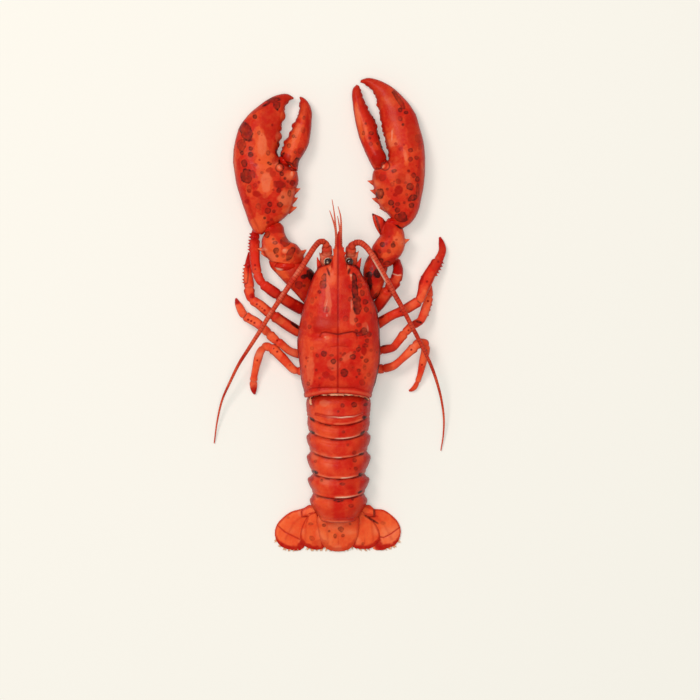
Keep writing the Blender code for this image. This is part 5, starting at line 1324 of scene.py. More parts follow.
CLAW_STAINS = {
    "crusher_palm": [
        (-69.4, 160.3, 4.2, 7.6, 22, 1), (-72.6, 149.6, 3, 4.6, 0, 0.7),
        (-70.6, 135.8, 2.2, 2.9, 20, 0.9), (-68.7, 126.4, 4.6, 5.4, 0, 1),
        (-64.4, 127.6, 2.2, 2.8, 0, 0.6), (-48.6, 183.8, 4.6, 1.9, 8, 0.9),
        (-46.1, 179.8, 2.6, 3.2, 0, 0.9), (-53.6, 181, 3.2, 0.8, 32, 1), (-62.8, 171.2, 1.5, 1.5, 0, 1),
        (-65.6, 146.9, 1.6, 1.6, 0, 1), (-65.8, 142.6, 1.9, 2.2, 0, 1), (-72.3, 143.7, 1.3, 1.3, 0, 0.9),
        (-51.5, 135.7, 1.6, 1, -30, 0.9), (-52.6, 143.9, 1.4, 1.7, 0, 0.6),
        (-43.2, 137.4, 2, 1.2, -20, 1), (-42.3, 128, 1.6, 1.3, -30, 1), (-40, 124.6, 1, 1, 0, 0.9),
        (-43.8, 104.8, 2, 1.8, 0, 1), (-44.6, 115.6, 1.6, 1.8, 0, 0.9), (-51.5, 105.2, 1.7, 1.8, 0, 0.9),
        (-53, 100.3, 2.2, 2.3, 0, 0.8), (-48.4, 99.9, 1.1, 1.1, 0, 0.9),
        (-43.4, 119.8, 4.6, 2.7, -8, 0.5), (-34.4, 121.4, 2.2, 2, 0, 0.6),
        (-55.3, 94.9, 0.8, 0.8, 0, 0.9), (-59.6, 159, 1, 1.4, 0, 0.5), (-37.7, 122.4, 0.9, 0.9, 0, 0.8),
        (-66.8, 117, 1.8, 2.6, 0, 0.5), (-62.4, 119.4, 1.2, 1.4, 0, 0.4), (-60, 104, 2, 2.4, 0, 0.4),
        (-41.6, 110.6, 0.9, 0.9, 0, 0.7), (-50, 93.6, 0.9, 0.9, 0, 0.6), (-36.6, 113.4, 1.2, 2.2, 0, 0.7),
        (-46.2, 144, 0.8, 2.2, 10, 1), (-44.8, 150.4, 0.9, 1.8, 10, 0.9), (-57.2, 128.8, 1, 0.9, 0, 0.5),
    ],
    "crusher_finger": [
        (-31.6, 136.8, 2.4, 3.8, -25, 1), (-28.1, 145.2, 2.3, 2.6, 0, 0.5),
        (-33.8, 156.5, 1.2, 1.2, 0, 0.7), (-25.8, 170.3, 0.9, 1.3, 0, 0.6),
        (-37.3, 149.2, 1.4, 1.6, 0, 0.6), (-32.4, 144.4, 1, 1, 0, 0.6), (-26.6, 161, 1.6, 2.2, 0, 0.4),
        (-42, 142.2, 0.8, 2.4, -34, 1), (-37.6, 136.2, 2.6, 0.9, -16, 0.9),
    ],
    "cutter_palm": [
        (45.1, 184.2, 1.8, 7.4, 32, 0.7), (46.3, 176.1, 1.5, 1.5, 0, 1), (50.6, 174.4, 1.4, 1.2, 0, 1),
        (46.3, 169.6, 1.6, 1.7, 0, 0.7), (48.4, 165, 0.9, 0.8, 0, 0.9), (53.9, 145.6, 1.6, 1.4, 0, 0.8),
        (53.8, 138.9, 1.7, 1.7, 0, 0.7), (58.4, 140, 1.5, 1.3, 0, 0.7), (52.5, 130.1, 1, 1, 0, 0.7),
        (41.6, 130.3, 1.7, 1.2, 0, 0.7), (56.2, 126.9, 1.9, 1.8, 0, 0.8), (59.2, 124.3, 1.7, 1.9, 0, 1),
        (54, 118.3, 2.7, 2.6, 0, 1), (55.4, 110, 3.6, 2.1, 18, 1), (54.8, 104.4, 1.8, 1.9, 0, 1),
        (59.3, 115.6, 1.2, 4.6, 0, 0.6), (31.3, 113.4, 3.1, 3.7, -8, 1), (39.2, 106.4, 1.7, 1.8, 0, 1),
        (44.3, 105.2, 1.5, 1.3, 0, 0.7), (44.3, 100.9, 1.9, 1.9, 0, 0.9), (49.4, 106.4, 0.9, 0.9, 0, 0.7),
        (47.6, 95.6, 4.4, 4, 30, 1), (44, 96.2, 2.4, 1.8, 0, 0.8), (41, 103.4, 0.7, 0.7, 0, 0.9),
        (32.9, 125.3, 2.9, 2.4, 0, 0.4), (40.2, 120, 1.4, 1.4, 0, 0.4), (44.8, 122.4, 1.8, 1.8, 0, 0.4),
        (51, 112.4, 0.8, 0.8, 0, 0.6), (50.4, 121.4, 1, 1, 0, 0.5), (61.4, 148.6, 1.4, 2, 0, 0.4),
        (60, 154.6, 2.6, 3, 0, 0.35), (36.4, 116.6, 0.9, 0.9, 0, 0.6), (30.6, 139.4, 3.2, 0.8, 20, 0.9),
    ],
    "cutter_finger": [
        (24.4, 158.9, 1.6, 1.4, 0, 0.8), (23.4, 155.1, 0.9, 0.9, 0, 0.7), (24.2, 150.6, 1.2, 1.4, 0, 0.6),
        (18.7, 158.9, 1, 1.5, 0, 0.5), (30, 157, 0.7, 4, 22, 0.8), (34.2, 146, 0.8, 4.6, 30, 0.9),
        (26, 171.6, 0.6, 3.4, 20, 0.7),
    ],
    "crusher_wrist": [
        (-47.5, 76.6, 1.6, 1.4, 0, 0.7), (-47, 70.5, 2.2, 2.2, 0, 0.9), (-46.1, 66.5, 0.9, 0.9, 0, 0.9),
        (-39.5, 77.7, 3.6, 3.8, 20, 0.8), (-35.6, 68.8, 2.3, 5.4, -28, 0.8),
        (-53.6, 82.9, 2, 2.6, 0, 0.8), (-30.4, 69.4, 1, 1.4, 0, 0.5), (-41.4, 66.6, 1.4, 1.4, 0, 0.4),
    ],
    "cutter_wrist": [
        (44.9, 90, 3.9, 1.8, -40, 1.4), (32.7, 75.1, 1.6, 1.6, 0, 1.2), (40.7, 74.5, 1.5, 1.4, 0, 1.1),
        (41.2, 76.8, 0.7, 0.7, 0, 0.9), (37.5, 70.2, 1.4, 1.5, 0, 0.6), (31.8, 63.1, 1.9, 1.7, 0, 0.9),
        (36.4, 61.4, 2.6, 1.5, 10, 0.8), (27.6, 66.4, 1.6, 5, 24, 0.9), (30.6, 70.2, 1.1, 1.6, 30, 0.7),
        (29.4, 91, 0.7, 6, 16, 1), (25.9, 98, 0.9, 1, 0, 1), (34.4, 93.4, 0.8, 2.4, 0, 0.8),
    ],
    "crusher_arm": [
        (-20.6, 53.2, 3.8, 4, 0, 1.4), (-19, 48.4, 1.8, 4.8, 12, 1.4), (-25.4, 51.4, 2.8, 1.6, 20, 1.3),
        (-30, 44.9, 2.9, 2.8, 0, 0.7), (-25.7, 44.3, 0.9, 0.9, 0, 0.8), (-32.9, 48.7, 1.4, 1.3, 0, 0.7),
        (-16.2, 40, 1, 5, 20, 0.7),
    ],
    "cutter_arm": [
        (28.6, 53.3, 2.9, 3.4, 0, 1.4), (22.8, 52.4, 2.8, 2.5, 0, 1.3), (23.4, 46.6, 1.8, 5, 12, 1.4),
        (24.6, 56.9, 1.2, 1, 0, 0.9), (21.2, 64.4, 1.6, 2, 0, 0.8), (27.4, 36.4, 0.9, 3, -30, 0.8),
    ],
}
CLAW_BLUSH = {
    "crusher_palm": [
        (-68.7, 107.9, 1.9, 1.9, 0, 1), (-61.4, 113.3, 3.2, 2.4, 0, 0.9),
        (-66.8, 115.2, 1.8, 1.8, 0, 0.7), (-61.8, 134.7, 1.8, 1.6, 0, 0.9),
        (-59.1, 138.5, 0.8, 0.8, 0, 0.8), (-59.5, 121.7, 0.9, 0.9, 0, 0.8),
        (-51.8, 130.9, 2.4, 1.4, 20, 0.7), (-48.8, 116, 1.2, 1, 0, 0.8),
        (-43.4, 119.8, 4.4, 2.5, -8, 0.7), (-52, 168, 7, 11, 10, 0.35), (-34.4, 121.4, 2.4, 2.2, 0, 0.8),
        (-48.6, 127.8, 2.4, 2, 0, 0.6), (-40, 134, 4.6, 3.4, -20, 0.7), (-55, 107, 5, 5, 0, 0.4),
        (-41, 187, 8, 2.6, -4, 0.7), (-47.6, 138.6, 2.2, 2.6, 0, 0.6), (-71.4, 168, 3, 12, 28, 0.4),
        (-58, 178, 8, 1.4, 34, 0.7),
    ],
    "crusher_finger": [
        (-39.4, 139.4, 3.4, 4.4, -10, 0.9), (-24.6, 180, 5, 7, 0, 0.45), (-22, 160, 1.6, 20, 8, 0.7),
    ],
    "cutter_palm": [
        (46.3, 146.8, 2.2, 2, 0, 0.9), (43.1, 150.6, 1.4, 1.2, 0, 0.8), (48.9, 150, 1, 1, 0, 0.8),
        (60, 132.9, 0.9, 0.9, 0, 0.9), (45.1, 115.5, 3.4, 3.1, 0, 1), (42.4, 112.3, 2, 1.5, 0, 1),
        (55.4, 160, 4.6, 13, 8, 0.5), (26.8, 128, 3.2, 4, 0, 0.6), (34, 186, 10, 7, -30, 0.35),
        (46.4, 125, 4, 4, 0, 0.4), (35.6, 104, 4, 3, 0, 0.5), (61, 122, 3, 14, 0, 0.4),
        (58.8, 166, 2.4, 12, 24, 0.5), (41, 172, 5, 7, 0, 0.3),
    ],
    "cutter_finger": [
        (29.3, 139.6, 5, 6, 0, 0.8), (13.6, 190, 3.6, 7, 0, 0.5), (26.8, 160, 2, 24, 22, 0.45),
    ],
    "crusher_wrist": [
        (-29.5, 67.7, 4.4, 5, 0, 0.5), (-45, 87, 6, 3.6, 0, 0.8), (-35, 64, 7, 1.6, 8, 0.5),
    ],
    "cutter_wrist": [
        (35.8, 75.7, 0.9, 0.9, 0, 1), (36, 86, 5, 6, 0, 0.5), (28.6, 70, 4, 8, 0, 0.5),
        (41, 63, 4.6, 2.6, 0, 0.8), (43.4, 78.8, 1, 0.8, 0, 0.7),
    ],
    "crusher_arm": [
        (-20, 48, 7, 9, 0, 0.6), (-22, 36, 7, 5, 30, 0.6), (-36, 55, 4, 4, 0, 0.5),
    ],
    "cutter_arm": [(27, 56, 8, 12, 0, 0.7), (22, 36, 6, 6, 0, 0.6)],
}
CLAW_GLOW = {
    "crusher_palm": [
        (-59.9, 157.3, 3.4, 7, 0, 1), (-58.7, 148.1, 4.4, 8.4, 0, 1), (-54.5, 139, 6.8, 7.4, 0, 1),
        (-56.6, 129, 5.7, 9, 0, 1), (-54.5, 118.4, 5.2, 6.8, 0, 1), (-60, 91.6, 5.8, 6.6, 0, 1),
        (-67, 116, 2.6, 5, 0, 0.7), (-39.4, 108, 5, 9, 0, 0.9), (-41.4, 172, 2, 5, 0, 0.9),
        (-78, 141, 1.3, 15, 0, 0.6), (-43, 93.6, 4.6, 4, 0, 0.6), (-45, 152, 1.8, 5, 8, 0.7),
    ],
    "crusher_finger": [(-32.3, 156, 4, 14, -18, 1), (-27, 172, 3.4, 8, -6, 0.6)],
    "cutter_palm": [
        (39.6, 155, 4.6, 4, 0, 1), (50.3, 143, 2.2, 8.6, 6, 1), (40, 128, 4, 5, 0, 0.6),
        (35, 106, 5, 5, 0, 0.6), (38.4, 133.6, 2, 3, 0, 0.8), (41, 122, 3, 3, 0, 0.5),
        (62.6, 120, 1.4, 16, 0, 0.6), (37, 184, 6, 3, -35, 0.5),
    ],
    "cutter_finger": [(15.4, 168.4, 2.6, 16, 14, 1), (20, 160, 2, 7, 10, 0.7)],
    "crusher_wrist": [(-50, 71, 7, 8.6, 0, 1), (-40, 63.6, 7, 3, 6, 1)],
    "cutter_wrist": [(43.9, 74.5, 5.6, 8, 0, 1), (36, 67.6, 4, 1.6, 20, 0.8)],
    "crusher_arm": [(-43, 53, 4.6, 5.6, 30, 1)],
    "cutter_arm": [(30, 40, 3, 4, 0, 0.3)],
}
# Pale areas of pale shell; the spots on the hinge knobs and the bright spot on the crusher wrist are painted
# highlights
CLAW_PALE = {
    "crusher_palm": [
        (-57, 150, 3, 9, 4, 0.6), (-54, 122, 3.4, 7, 0, 0.6), (-41, 109, 4, 4.6, 0, 0.5),
        (-44, 132.6, 1.3, 1.4, 0, 0.9), (-34.9, 127.8, 1.1, 2, 0, 0.8), (-78, 130, 1.2, 9, 0, 0.5),
        (-44.6, 156, 1.8, 4, 0, 0.5),
    ],
    "crusher_finger": [(-31.4, 160, 1.8, 8, -18, 0.6)],
    "cutter_palm": [
        (41, 152, 4.4, 3.4, 0, 0.6), (50.2, 141, 1.2, 5, 6, 0.6), (40.6, 160, 1.6, 3, 0, 0.4),
        (33.6, 133.8, 1.2, 1.4, 0, 1), (52, 122, 2.4, 5, 0, 0.3),
    ],
    "cutter_finger": [(14.4, 172, 1.5, 8, 14, 0.6)],
    "crusher_wrist": [
        (-40.1, 70.4, 2.2, 1.8, 0, 0.9), (-50.4, 66, 4, 3, -30, 0.5), (-57.4, 72, 3, 2, 0, 0.5),
    ],
    "cutter_wrist": [(44.6, 79, 3, 2.4, 0, 0.35)],
    "crusher_arm": [(-45.6, 52, 1.6, 4, 34, 0.6)],
}
FINGER_HINGES = {
    "crusher_finger": [(-43.8, 136.6), (-42.4, 138.6), (-38.4, 135), (-35.2, 131.4), (-31, 131.4)],
    "cutter_finger": [(26, 132), (31, 132.8), (34.6, 136.8), (37, 141.4)],
}
KNUCKLES = {
    "crusher_palm": [
        ((-43.8, 132.4, 28.6), (2.7, 2.4, 2.2)), ((-34.8, 127.8, 24.8), (2.6, 2.9, 2.2)),
        ((-35.6, 123.6, 15), (6, 7.8, 9.6)),
    ],
    "cutter_palm": [((34.6, 134.2, 26), (3.2, 3.2, 2))],
}
KNOB_OUTLINES = {
    "crusher_palm": [(-44, 132.4, 2.9), (-36.4, 124.4, 7.2)],
    "cutter_palm": [(35, 134, 3.2)],
}
# Cream spots and streaks: painted highlights
CLAW_HIGHLIGHTS = {
    "crusher_palm": [(-44.2, 132.8, 0.9, 0.9, 0, 0.15), (-34.9, 127.8, 0.7, 1.5, 0, 0.12)],
    "cutter_palm": [(33.2, 133.6, 0.8, 1.5, -20, 0.25), (40, 156, 0.6, 4, 0, 0.2)],
    "crusher_wrist": [(-40.4, 70.8, 1, 0.8, 0, 0.2), (-56.6, 71.6, 2.6, 0.7, 0, 0.15)],
}
# First and last share of the edge, number of teeth, their size and the seed of their spread
EDGE_TEETH = {
    "crusher_palm": (0.55, 0.92, 13, 1.1, 401), "crusher_finger": (0.25, 0.88, 15, 1, 402),
    "cutter_palm": (0.45, 0.93, 24, 1.2, 403), "cutter_finger": (0.25, 0.92, 22, 1.2, 404),
}
claw_rows = {
    "crusher_palm": CRUSHER_PALM_ROWS, "crusher_finger": CRUSHER_FINGER_ROWS,
    "crusher_wrist": CRUSHER_WRIST_ROWS, "crusher_arm": CRUSHER_ARM_ROWS,
    "cutter_palm": CUTTER_PALM_ROWS, "cutter_finger": CUTTER_FINGER_ROWS,
    "cutter_wrist": CUTTER_WRIST_ROWS, "cutter_arm": CUTTER_ARM_ROWS,
}


def edge_teeth(rows, first, last, count, size, seed):
    """Low blunt teeth of uneven size along the biting edge of a claw."""
    line = stations(rows, 200)
    dice = np.random.default_rng(seed)
    teeth = []
    for s in np.linspace(first, last, count) + dice.uniform(-0.012, 0.012, count):
        x1, y1, x2, y2, height, thick = line[int(np.clip(s, 0, 1) * 199)]
        inward = np.array([x1 - x2, y1 - y2]) / math.hypot(x1 - x2, y1 - y2)
        wide = size * dice.uniform(0.6, 1.3)
        x, y = np.array([x2, y2]) + inward * wide * 0.35
        teeth.append(knob_shell((x, y, height), (wide, wide, wide * 1.4), 14, 9))
    return teeth


# Thick claw shell: as red as the back and a little glossier, with coarser pits
claw_shell = boiled_shell("boiled_claw_shell", "cb2412", "e6562a", "a40a05", "32100f", "eb7a52", 0.34, 1.7)
for number, (name, rows) in enumerate(claw_rows.items()):
    if name.endswith("arm"):
        thinned = [(*row[:5], row[5] * share) for row, share in zip(rows[-3:], (0.92, 0.84, 0.8))]
        rows = rows[:-3] + thinned
    if name.endswith("wrist"):
        rows = [(*rows[0][:4], rows[0][4] + 0.4, rows[0][5] + 4.5)] + list(rows[1:])
    shells = [rib_shell(rows, 90, 48)]
    shells += [thorn_shell(*spine) for spine in CLAW_SPINES.get(name, []) if spine[1][2] < KNOB_TIP]
    shells += [knob_shell(*knob) for knob in CLAW_TEETH.get(name, []) + KNUCKLES.get(name, [])]
    if name in EDGE_TEETH:
        shells += edge_teeth(rows, *EDGE_TEETH[name])
    if name == "cutter_wrist":
        shells.append(rib_shell(CUTTER_SPUR_ROWS, 40, 24))
    big = name.endswith(("palm", "finger"))
    voxel, rounds = (0.52, 4) if name.endswith("palm") else (0.5, 3)
    claw = weld(name + "_shell", shells, voxel, rounds)
    points, normals = surface(claw)
    edge_rows = stations(rows, 120)
    inner = from_line(points, [(row[2], row[3]) for row in edge_rows])
    outer = from_line(points, [(row[0], row[1]) for row in edge_rows])
    on_top = ramp(normals[:, 2], 0.0, 0.35)
    warts, wart_kind = grains(points, 2.8, 170 + number)
    lift = (
        -0.14
        + 0.16 * bell(warts, 0.6) * (wart_kind > 0.45)
        + 0.22 * cloud(points, 10.0, 180 + number)
        + 0.10 * cloud(points, 4.0, 190 + number)
    )
    hinge = FINGER_HINGES.get(name.replace("palm", "finger"))
    hinge_line = from_line(points, hinge) if hinge and big else np.full(len(points), 99.0)
    if name.endswith("palm"):
        lift -= 0.9 * bell(hinge_line, 0.8) * on_top
        lift += 0.5 * bell(hinge_line - 2.2, 1.2) * on_top
    press(claw, points, normals, lift)
    near_tip = ramp(points[:, 1], rows[-1][1] - 12.0, rows[-1][1]) * big
    thorns = np.zeros(len(points))
    for base, tip, radius in CLAW_SPINES.get(name, []):
        thorns = np.maximum(thorns, bell(from_line(points, [base[:2], tip[:2]]), 0.7 * radius))
    knob_outline = np.zeros(len(points))
    for x, y, radius in KNOB_OUTLINES.get(name, []):
        share = 0.45 if radius > 5.0 else 1.0
        off_ring = np.hypot(points[:, 0] - x, points[:, 1] - y) - radius
        knob_outline = np.maximum(knob_outline, share * bell(off_ring, 0.45))
    tint(
        claw,
        warm=(
            0.20 + 0.6 * thorns + 0.66 * area_map(points, CLAW_GLOW[name], 200 + number)
            + 0.20 * cloud(points, 10.0, 210 + number) + 0.10 * cloud(points, 4.0, 215 + number)
            + 0.3 * ramp(-normals[:, 2], 0.1, 0.9)
        ),
        deep=np.maximum.reduce([
            0.60 * (1 - ramp(inner, 0.3, 2.0)) * big,
            0.80 * (1 - ramp(outer, 0.2, 1.5)),
            0.5 * bell(outer - 4.6, 0.9) * ramp(cloud(points, 9.0, 226 + number), -0.3, 0.4) * on_top * big,
            0.8 * bell(hinge_line, 0.8) * on_top,
            0.85 * area_map(points, CLAW_BLUSH[name], 220 + number),
            0.45 * near_tip,
            0.75 * freckles(points, 5.0, 0.24, 0.8, 225 + number, 0.0),
        ]),
        cream=area_map(points, CLAW_HIGHLIGHTS.get(name, []), 256 + number, 0.24),
        stain=np.maximum.reduce([
            stain_map(points, normals, CLAW_STAINS[name], 230 + number),
            freckles(points, 5.4, 0.14, 0.7, 240 + number, 0.6) * 0.75,
            0.8 * knob_outline * on_top,
            0.8 * bell(hinge_line, 0.5) * ramp(cloud(points, 3.0, 245), -0.4, 0.3) * on_top,
        ]),
        pale=np.maximum(0.45 * thorns, 0.8 * area_map(points, CLAW_PALE.get(name, []), 250 + number, 0.24)),
    )
    dress(claw, claw_shell, "cooked_shell_red", name)

# Soft joint skin: the smooth wet membrane that shows between the wrist and the arm of the crusher,
# and in the neck of each claw. It is bright red and unpitted, so it shines more than the shell.
JOINT_SKINS = [
    ((-39.6, 59, 19.6), (8.6, 4, 5.6)),
    ((31, 60.6, 17.4), (7.6, 4, 6)),
    ((-50.4, 87, 15.4), (7, 4.4, 6.4)),
    ((41.4, 91.6, 15), (6.4, 4, 6)),
    ((-40.6, 138, 14), (5.6, 5, 7.4)),
    ((31.8, 136.6, 13.4), (5.4, 4.6, 7)),
]
joint_skin = boiled_shell("soft_joint_skin", "cc140a", "e42c12", "8a0a06", "3c0e0a", "f2a890", 0.20, 3.0)
for number, (centre, radii) in enumerate(JOINT_SKINS):
    skin = weld(f"joint_skin_{number}", [knob_shell(centre, radii, 28, 19)], 0.6, 3)
    points, normals = surface(skin)
    press(skin, points, normals, 0.15 * np.sin(points[:, 1] * 2.6 + cloud(points, 4.0, 260)))
    lower_left_highlight = ramp(-0.5 * normals[:, 0] - 0.85 * normals[:, 1], 0.55, 0.85) * ramp(normals[:, 2], -0.1, 0.3)
    # The cream along the lower left edge of the first skin is a painted highlight.
    tint(
        skin,
        warm=0.4 + 0.4 * cloud(points, 4.0, 261),
        deep=0.3,
        pale=0.0,
        cream=0.7 * lower_left_highlight * ramp(cloud(points, 5.0, 262), -0.6, 0.1) * (number == 0),
    )
    dress(skin, joint_skin, "cooked_shell_red")

# Walking legs: four on each side, slender jointed tubes of thinner shell. The first two pairs end
# in small pincers; soft pinched rings mark the joints and short teeth stand along the hand edges.
LEG_PATHS = {
    "leg_left_1": [
        (-15.1, 20.5, 5, 7, 6.8), (-21.5, 23.5, 5.8, 8.6, 8), (-28.5, 27.4, 8.8, 9.2, 8.6),
        (-36.5, 31.8, 14, 9, 8.8), (-44, 36.6, 18.4, 8.6, 8.8), (-51.5, 41.8, 20.6, 8.3, 8.4),
        (-56.5, 45.6, 21, 7.2, 7.6), (-59.4, 49.5, 20.2, 6.8, 7.2), (-61.2, 55, 18.2, 7.4, 7.4),
        (-62.6, 62, 15.6, 7.6, 7.2), (-63, 70.5, 12, 7.2, 6.6), (-63, 78, 7.4, 6.6, 5.6),
        (-62.5, 84, 4.4, 5.6, 4.6), (-62, 89, 2.6, 3.8, 3.4), (-61, 93, 1.6, 1.6, 1.6),
    ],
    "leg_left_2": [
        (-15.1, 7.4, 5, 6.6, 6.6), (-21.5, 7.8, 5.6, 7.8, 7.6), (-28.5, 9.4, 8.2, 8.4, 8.2),
        (-36.5, 13.8, 13, 8.6, 8.4), (-45.5, 19.8, 17, 8.2, 8), (-53, 25, 18.6, 8, 8),
        (-59.5, 30.4, 18.8, 7.6, 7.4), (-65.4, 34.6, 17.4, 6.8, 6.6), (-67.8, 39.2, 15.2, 7, 6.8),
        (-68.2, 46, 12, 7, 6.6), (-69, 52.5, 8.6, 6, 5.8), (-69, 59, 5.6, 5, 4.8),
        (-68.6, 65, 3.4, 3.6, 3.6), (-67.4, 70, 1.6, 1.6, 1.6),
    ],
    "leg_left_3": [
        (-15.1, -5.6, 5, 6.2, 6.4), (-21.5, -6.6, 5.6, 7.2, 7.2), (-28.5, -6.8, 8, 7.4, 7.4),
        (-36, -4.8, 13.2, 6.2, 7), (-43, 0.6, 16.8, 6.2, 7), (-49, 5.2, 18.2, 7, 7),
        (-53.5, 9.7, 18.2, 6.8, 6.6), (-57.5, 13.5, 17.2, 6.9, 7), (-62.5, 17.4, 14.8, 7.6, 7),
        (-68, 20.4, 11.4, 7.2, 6.6), (-71.6, 23.2, 9.2, 6.6, 6.2), (-74.2, 28, 6.4, 6.2, 5.6),
        (-76.2, 32, 3.4, 4.2, 4), (-77.2, 35.2, 1.4, 1.8, 1.6),
    ],
    "leg_left_4": [
        (-15.1, -17.4, 5, 5.8, 6.4), (-21.5, -18.8, 5.6, 6.4, 7), (-28.5, -19.6, 8, 6.2, 6.8),
        (-33.6, -18.6, 10, 6.2, 6.6), (-38, -14.3, 11.8, 6.8, 6.6), (-44, -7.9, 13.2, 7.6, 7),
        (-50, -2.6, 13.6, 7.6, 7), (-54.5, -1.4, 13.4, 6.4, 6.2), (-58, -4, 12.6, 6.2, 6.2),
        (-60.2, -9.4, 12, 6.8, 6.6), (-62, -16.5, 9, 5.8, 6.2), (-63.5, -24, 6, 5.4, 5.6),
        (-64, -30, 3.6, 6, 5), (-63.7, -34.6, 2, 4.2, 3.6), (-63.2, -37.2, 1.2, 1.6, 1.6),
    ],
    "leg_right_1": [
        (15.1, 20, 5, 7, 6.8), (21.5, 22.5, 5.8, 8.4, 8), (28.5, 28.6, 9.4, 8.8, 8.6),
        (34.2, 36, 14.4, 9.4, 9), (38.6, 42.6, 17.6, 9, 8.8), (42.6, 48.4, 18, 9.4, 8.6),
        (44.6, 55, 14.6, 8.2, 7.8), (43.8, 60.8, 9, 6.8, 6.4), (42, 65.4, 4.4, 5.4, 5),
        (39.6, 69.6, 2.4, 4, 3.6), (37.6, 73, 1.4, 1.6, 1.6),
    ],
    "leg_right_2": [
        (15.1, 7, 5, 6.4, 6.6), (21.5, 10.4, 5.8, 7.2, 7.4), (28.5, 15, 8.8, 7.6, 7.6),
        (35, 19.2, 12.8, 7.2, 7.6), (41.5, 22.8, 15.6, 6.9, 7.6), (47, 25, 17, 7.2, 7.2),
        (51.5, 27.4, 18, 7.6, 7.6), (56.5, 30.4, 18.6, 7.6, 7.6), (60.8, 33.6, 18.2, 7, 6.8),
        (63, 39, 16.6, 7.4, 7), (65.2, 46, 14, 8.2, 7), (68.6, 53, 11.4, 7.6, 6.6),
        (73, 60, 8.6, 7.2, 6.2), (77, 66.5, 6, 6.6, 5.6), (78.6, 71.2, 4.2, 6.2, 5.2),
        (78, 76.6, 2.6, 4.8, 4), (76.6, 81.4, 1.4, 1.8, 1.8),
    ],
    "leg_right_3": [
        (15.1, -5, 5, 6, 6.4), (21.5, -5, 5.6, 6.6, 7), (28.5, -4.4, 8, 6.8, 7.2),
        (35.5, -3.2, 11.6, 6.8, 7), (41, -1.8, 13.8, 6.2, 6.6), (44.8, 2.6, 15, 6.4, 6.8),
        (49, 8, 16.2, 6.8, 7), (53.5, 12.8, 16.8, 6.5, 6.6), (57.5, 15.6, 16.8, 6.4, 6.4),
        (61, 17.8, 15.8, 6.2, 6.2), (63.6, 22.2, 13.4, 6.8, 6.4), (65.6, 28, 10.4, 7, 6),
        (67.5, 34, 7.4, 6.4, 5.4), (68.6, 40, 4.6, 5, 4.6), (68.6, 44.4, 2.6, 3.4, 3.4),
        (68.2, 48, 1.4, 1.6, 1.6),
    ],
    "leg_right_4": [
        (15.1, -17, 5, 5.8, 6.4), (21.5, -18, 5.6, 6.6, 7), (28.5, -18.2, 8, 6.8, 7),
        (35.5, -17.4, 11.4, 6.8, 6.8), (41, -15.8, 13.6, 6.4, 6.6), (45.5, -12.4, 15, 5.8, 6.6),
        (50.5, -7.8, 16.2, 6.4, 7), (56, -2.6, 16.8, 7.2, 7), (60.5, 1.2, 16.8, 7.6, 6.8),
        (64.4, 0.6, 15.8, 7.4, 6.6), (65.2, -4.5, 14, 6.8, 6.6), (63.8, -10.5, 11.6, 6.4, 6.2),
        (62.6, -16.5, 9, 5.6, 5.6), (61, -23, 6.2, 4.6, 5), (59, -28.5, 3.8, 4, 4.4),
        (57, -32.2, 2.4, 4, 3.8), (54.4, -34, 1.6, 2.8, 2.8), (52.8, -34.4, 1, 1.6, 1.6),
    ],
}
LEG_JOINTS = {
    "leg_left_1": (0.13, 0.36, 0.50, 0.585, 0.86),
    "leg_left_2": (0.14, 0.40, 0.60, 0.70, 0.88),
    "leg_left_3": (0.16, 0.42, 0.52, 0.80),
    "leg_left_4": (0.19, 0.50, 0.565, 0.88),
    "leg_right_1": (0.15, 0.46, 0.58, 0.84),
    "leg_right_2": (0.13, 0.38, 0.50, 0.82),
    "leg_right_3": (0.20, 0.46, 0.55, 0.86),
    "leg_right_4": (0.20, 0.50, 0.60, 0.90),
}
# Colour areas of the legs in the same form as on the carapace
LEG_GLOW = {
    "leg_left_1": [(-60.6, 53.6, 2.4, 5, 10, 0.35)],
    "leg_left_2": [
        (-57.8, 29.4, 7, 4.2, 36, 1), (-43.4, 18.6, 9, 3.4, 34, 0.8), (-66.6, 42, 3, 6, 0, 0.6),
        (-70.4, 53, 1.2, 6, 0, 0.7),
    ],
    "leg_left_3": [
        (-63.8, 17.8, 6.4, 3.8, 30, 1), (-50, 6.4, 4.4, 4, 40, 0.9), (-40, -2.6, 8, 2.6, 38, 0.5),
    ],
    "leg_left_4": [
        (-46.6, -5.6, 7, 4, 48, 0.9), (-36, -17, 4.6, 3.4, 40, 0.8), (-61, -13, 2.4, 5, 14, 0.6),
    ],
    "leg_right_1": [(43.6, 49.6, 5, 3.2, 40, 0.7)],
    "leg_right_2": [(63.8, 36.8, 3.6, 5.6, -20, 1), (53.6, 29, 5.6, 3, 30, 0.6)],
    "leg_right_3": [(66.2, 29.2, 3, 8, -10, 0.9), (50, 8.6, 6, 3.2, 50, 0.6)],
    "leg_right_4": [
        (54, -4.4, 7, 3.4, 42, 0.9), (63.6, -9, 2.6, 5, -8, 0.7), (36, -17.6, 6, 2.6, 10, 0.5),
    ],
}
LEG_DOTS = {
    "leg_left_1": [(-62.6, 59.9, 0.9), (-62.4, 56.8, 0.7)],
    "leg_left_2": [
        (-61.2, 30.6, 0.8), (-55.4, 25.9, 0.9), (-57.2, 27.4, 0.6), (-59, 29, 0.5), (-33.4, 15.8, 1.5),
    ],
    "leg_left_3": [(-67.9, 18.9, 0.9), (-65.6, 17.9, 0.8), (-63.1, 16.6, 0.8), (-46, 3.4, 0.7)],
    "leg_left_4": [(-46, -5, 0.8), (-48.6, -2.6, 0.6), (-61, -11.6, 0.7)],
    "leg_right_1": [(37.6, 40.4, 0.9), (46.6, 59, 0.7)],
    "leg_right_2": [(75, 62.6, 0.9), (66.4, 47.6, 0.9), (46.4, 25.2, 0.8)],
    "leg_right_3": [(67.2, 33, 0.8), (52.4, 11, 0.7)],
    "leg_right_4": [(54.6, -3.6, 0.8), (62.6, -15, 0.7)],
}
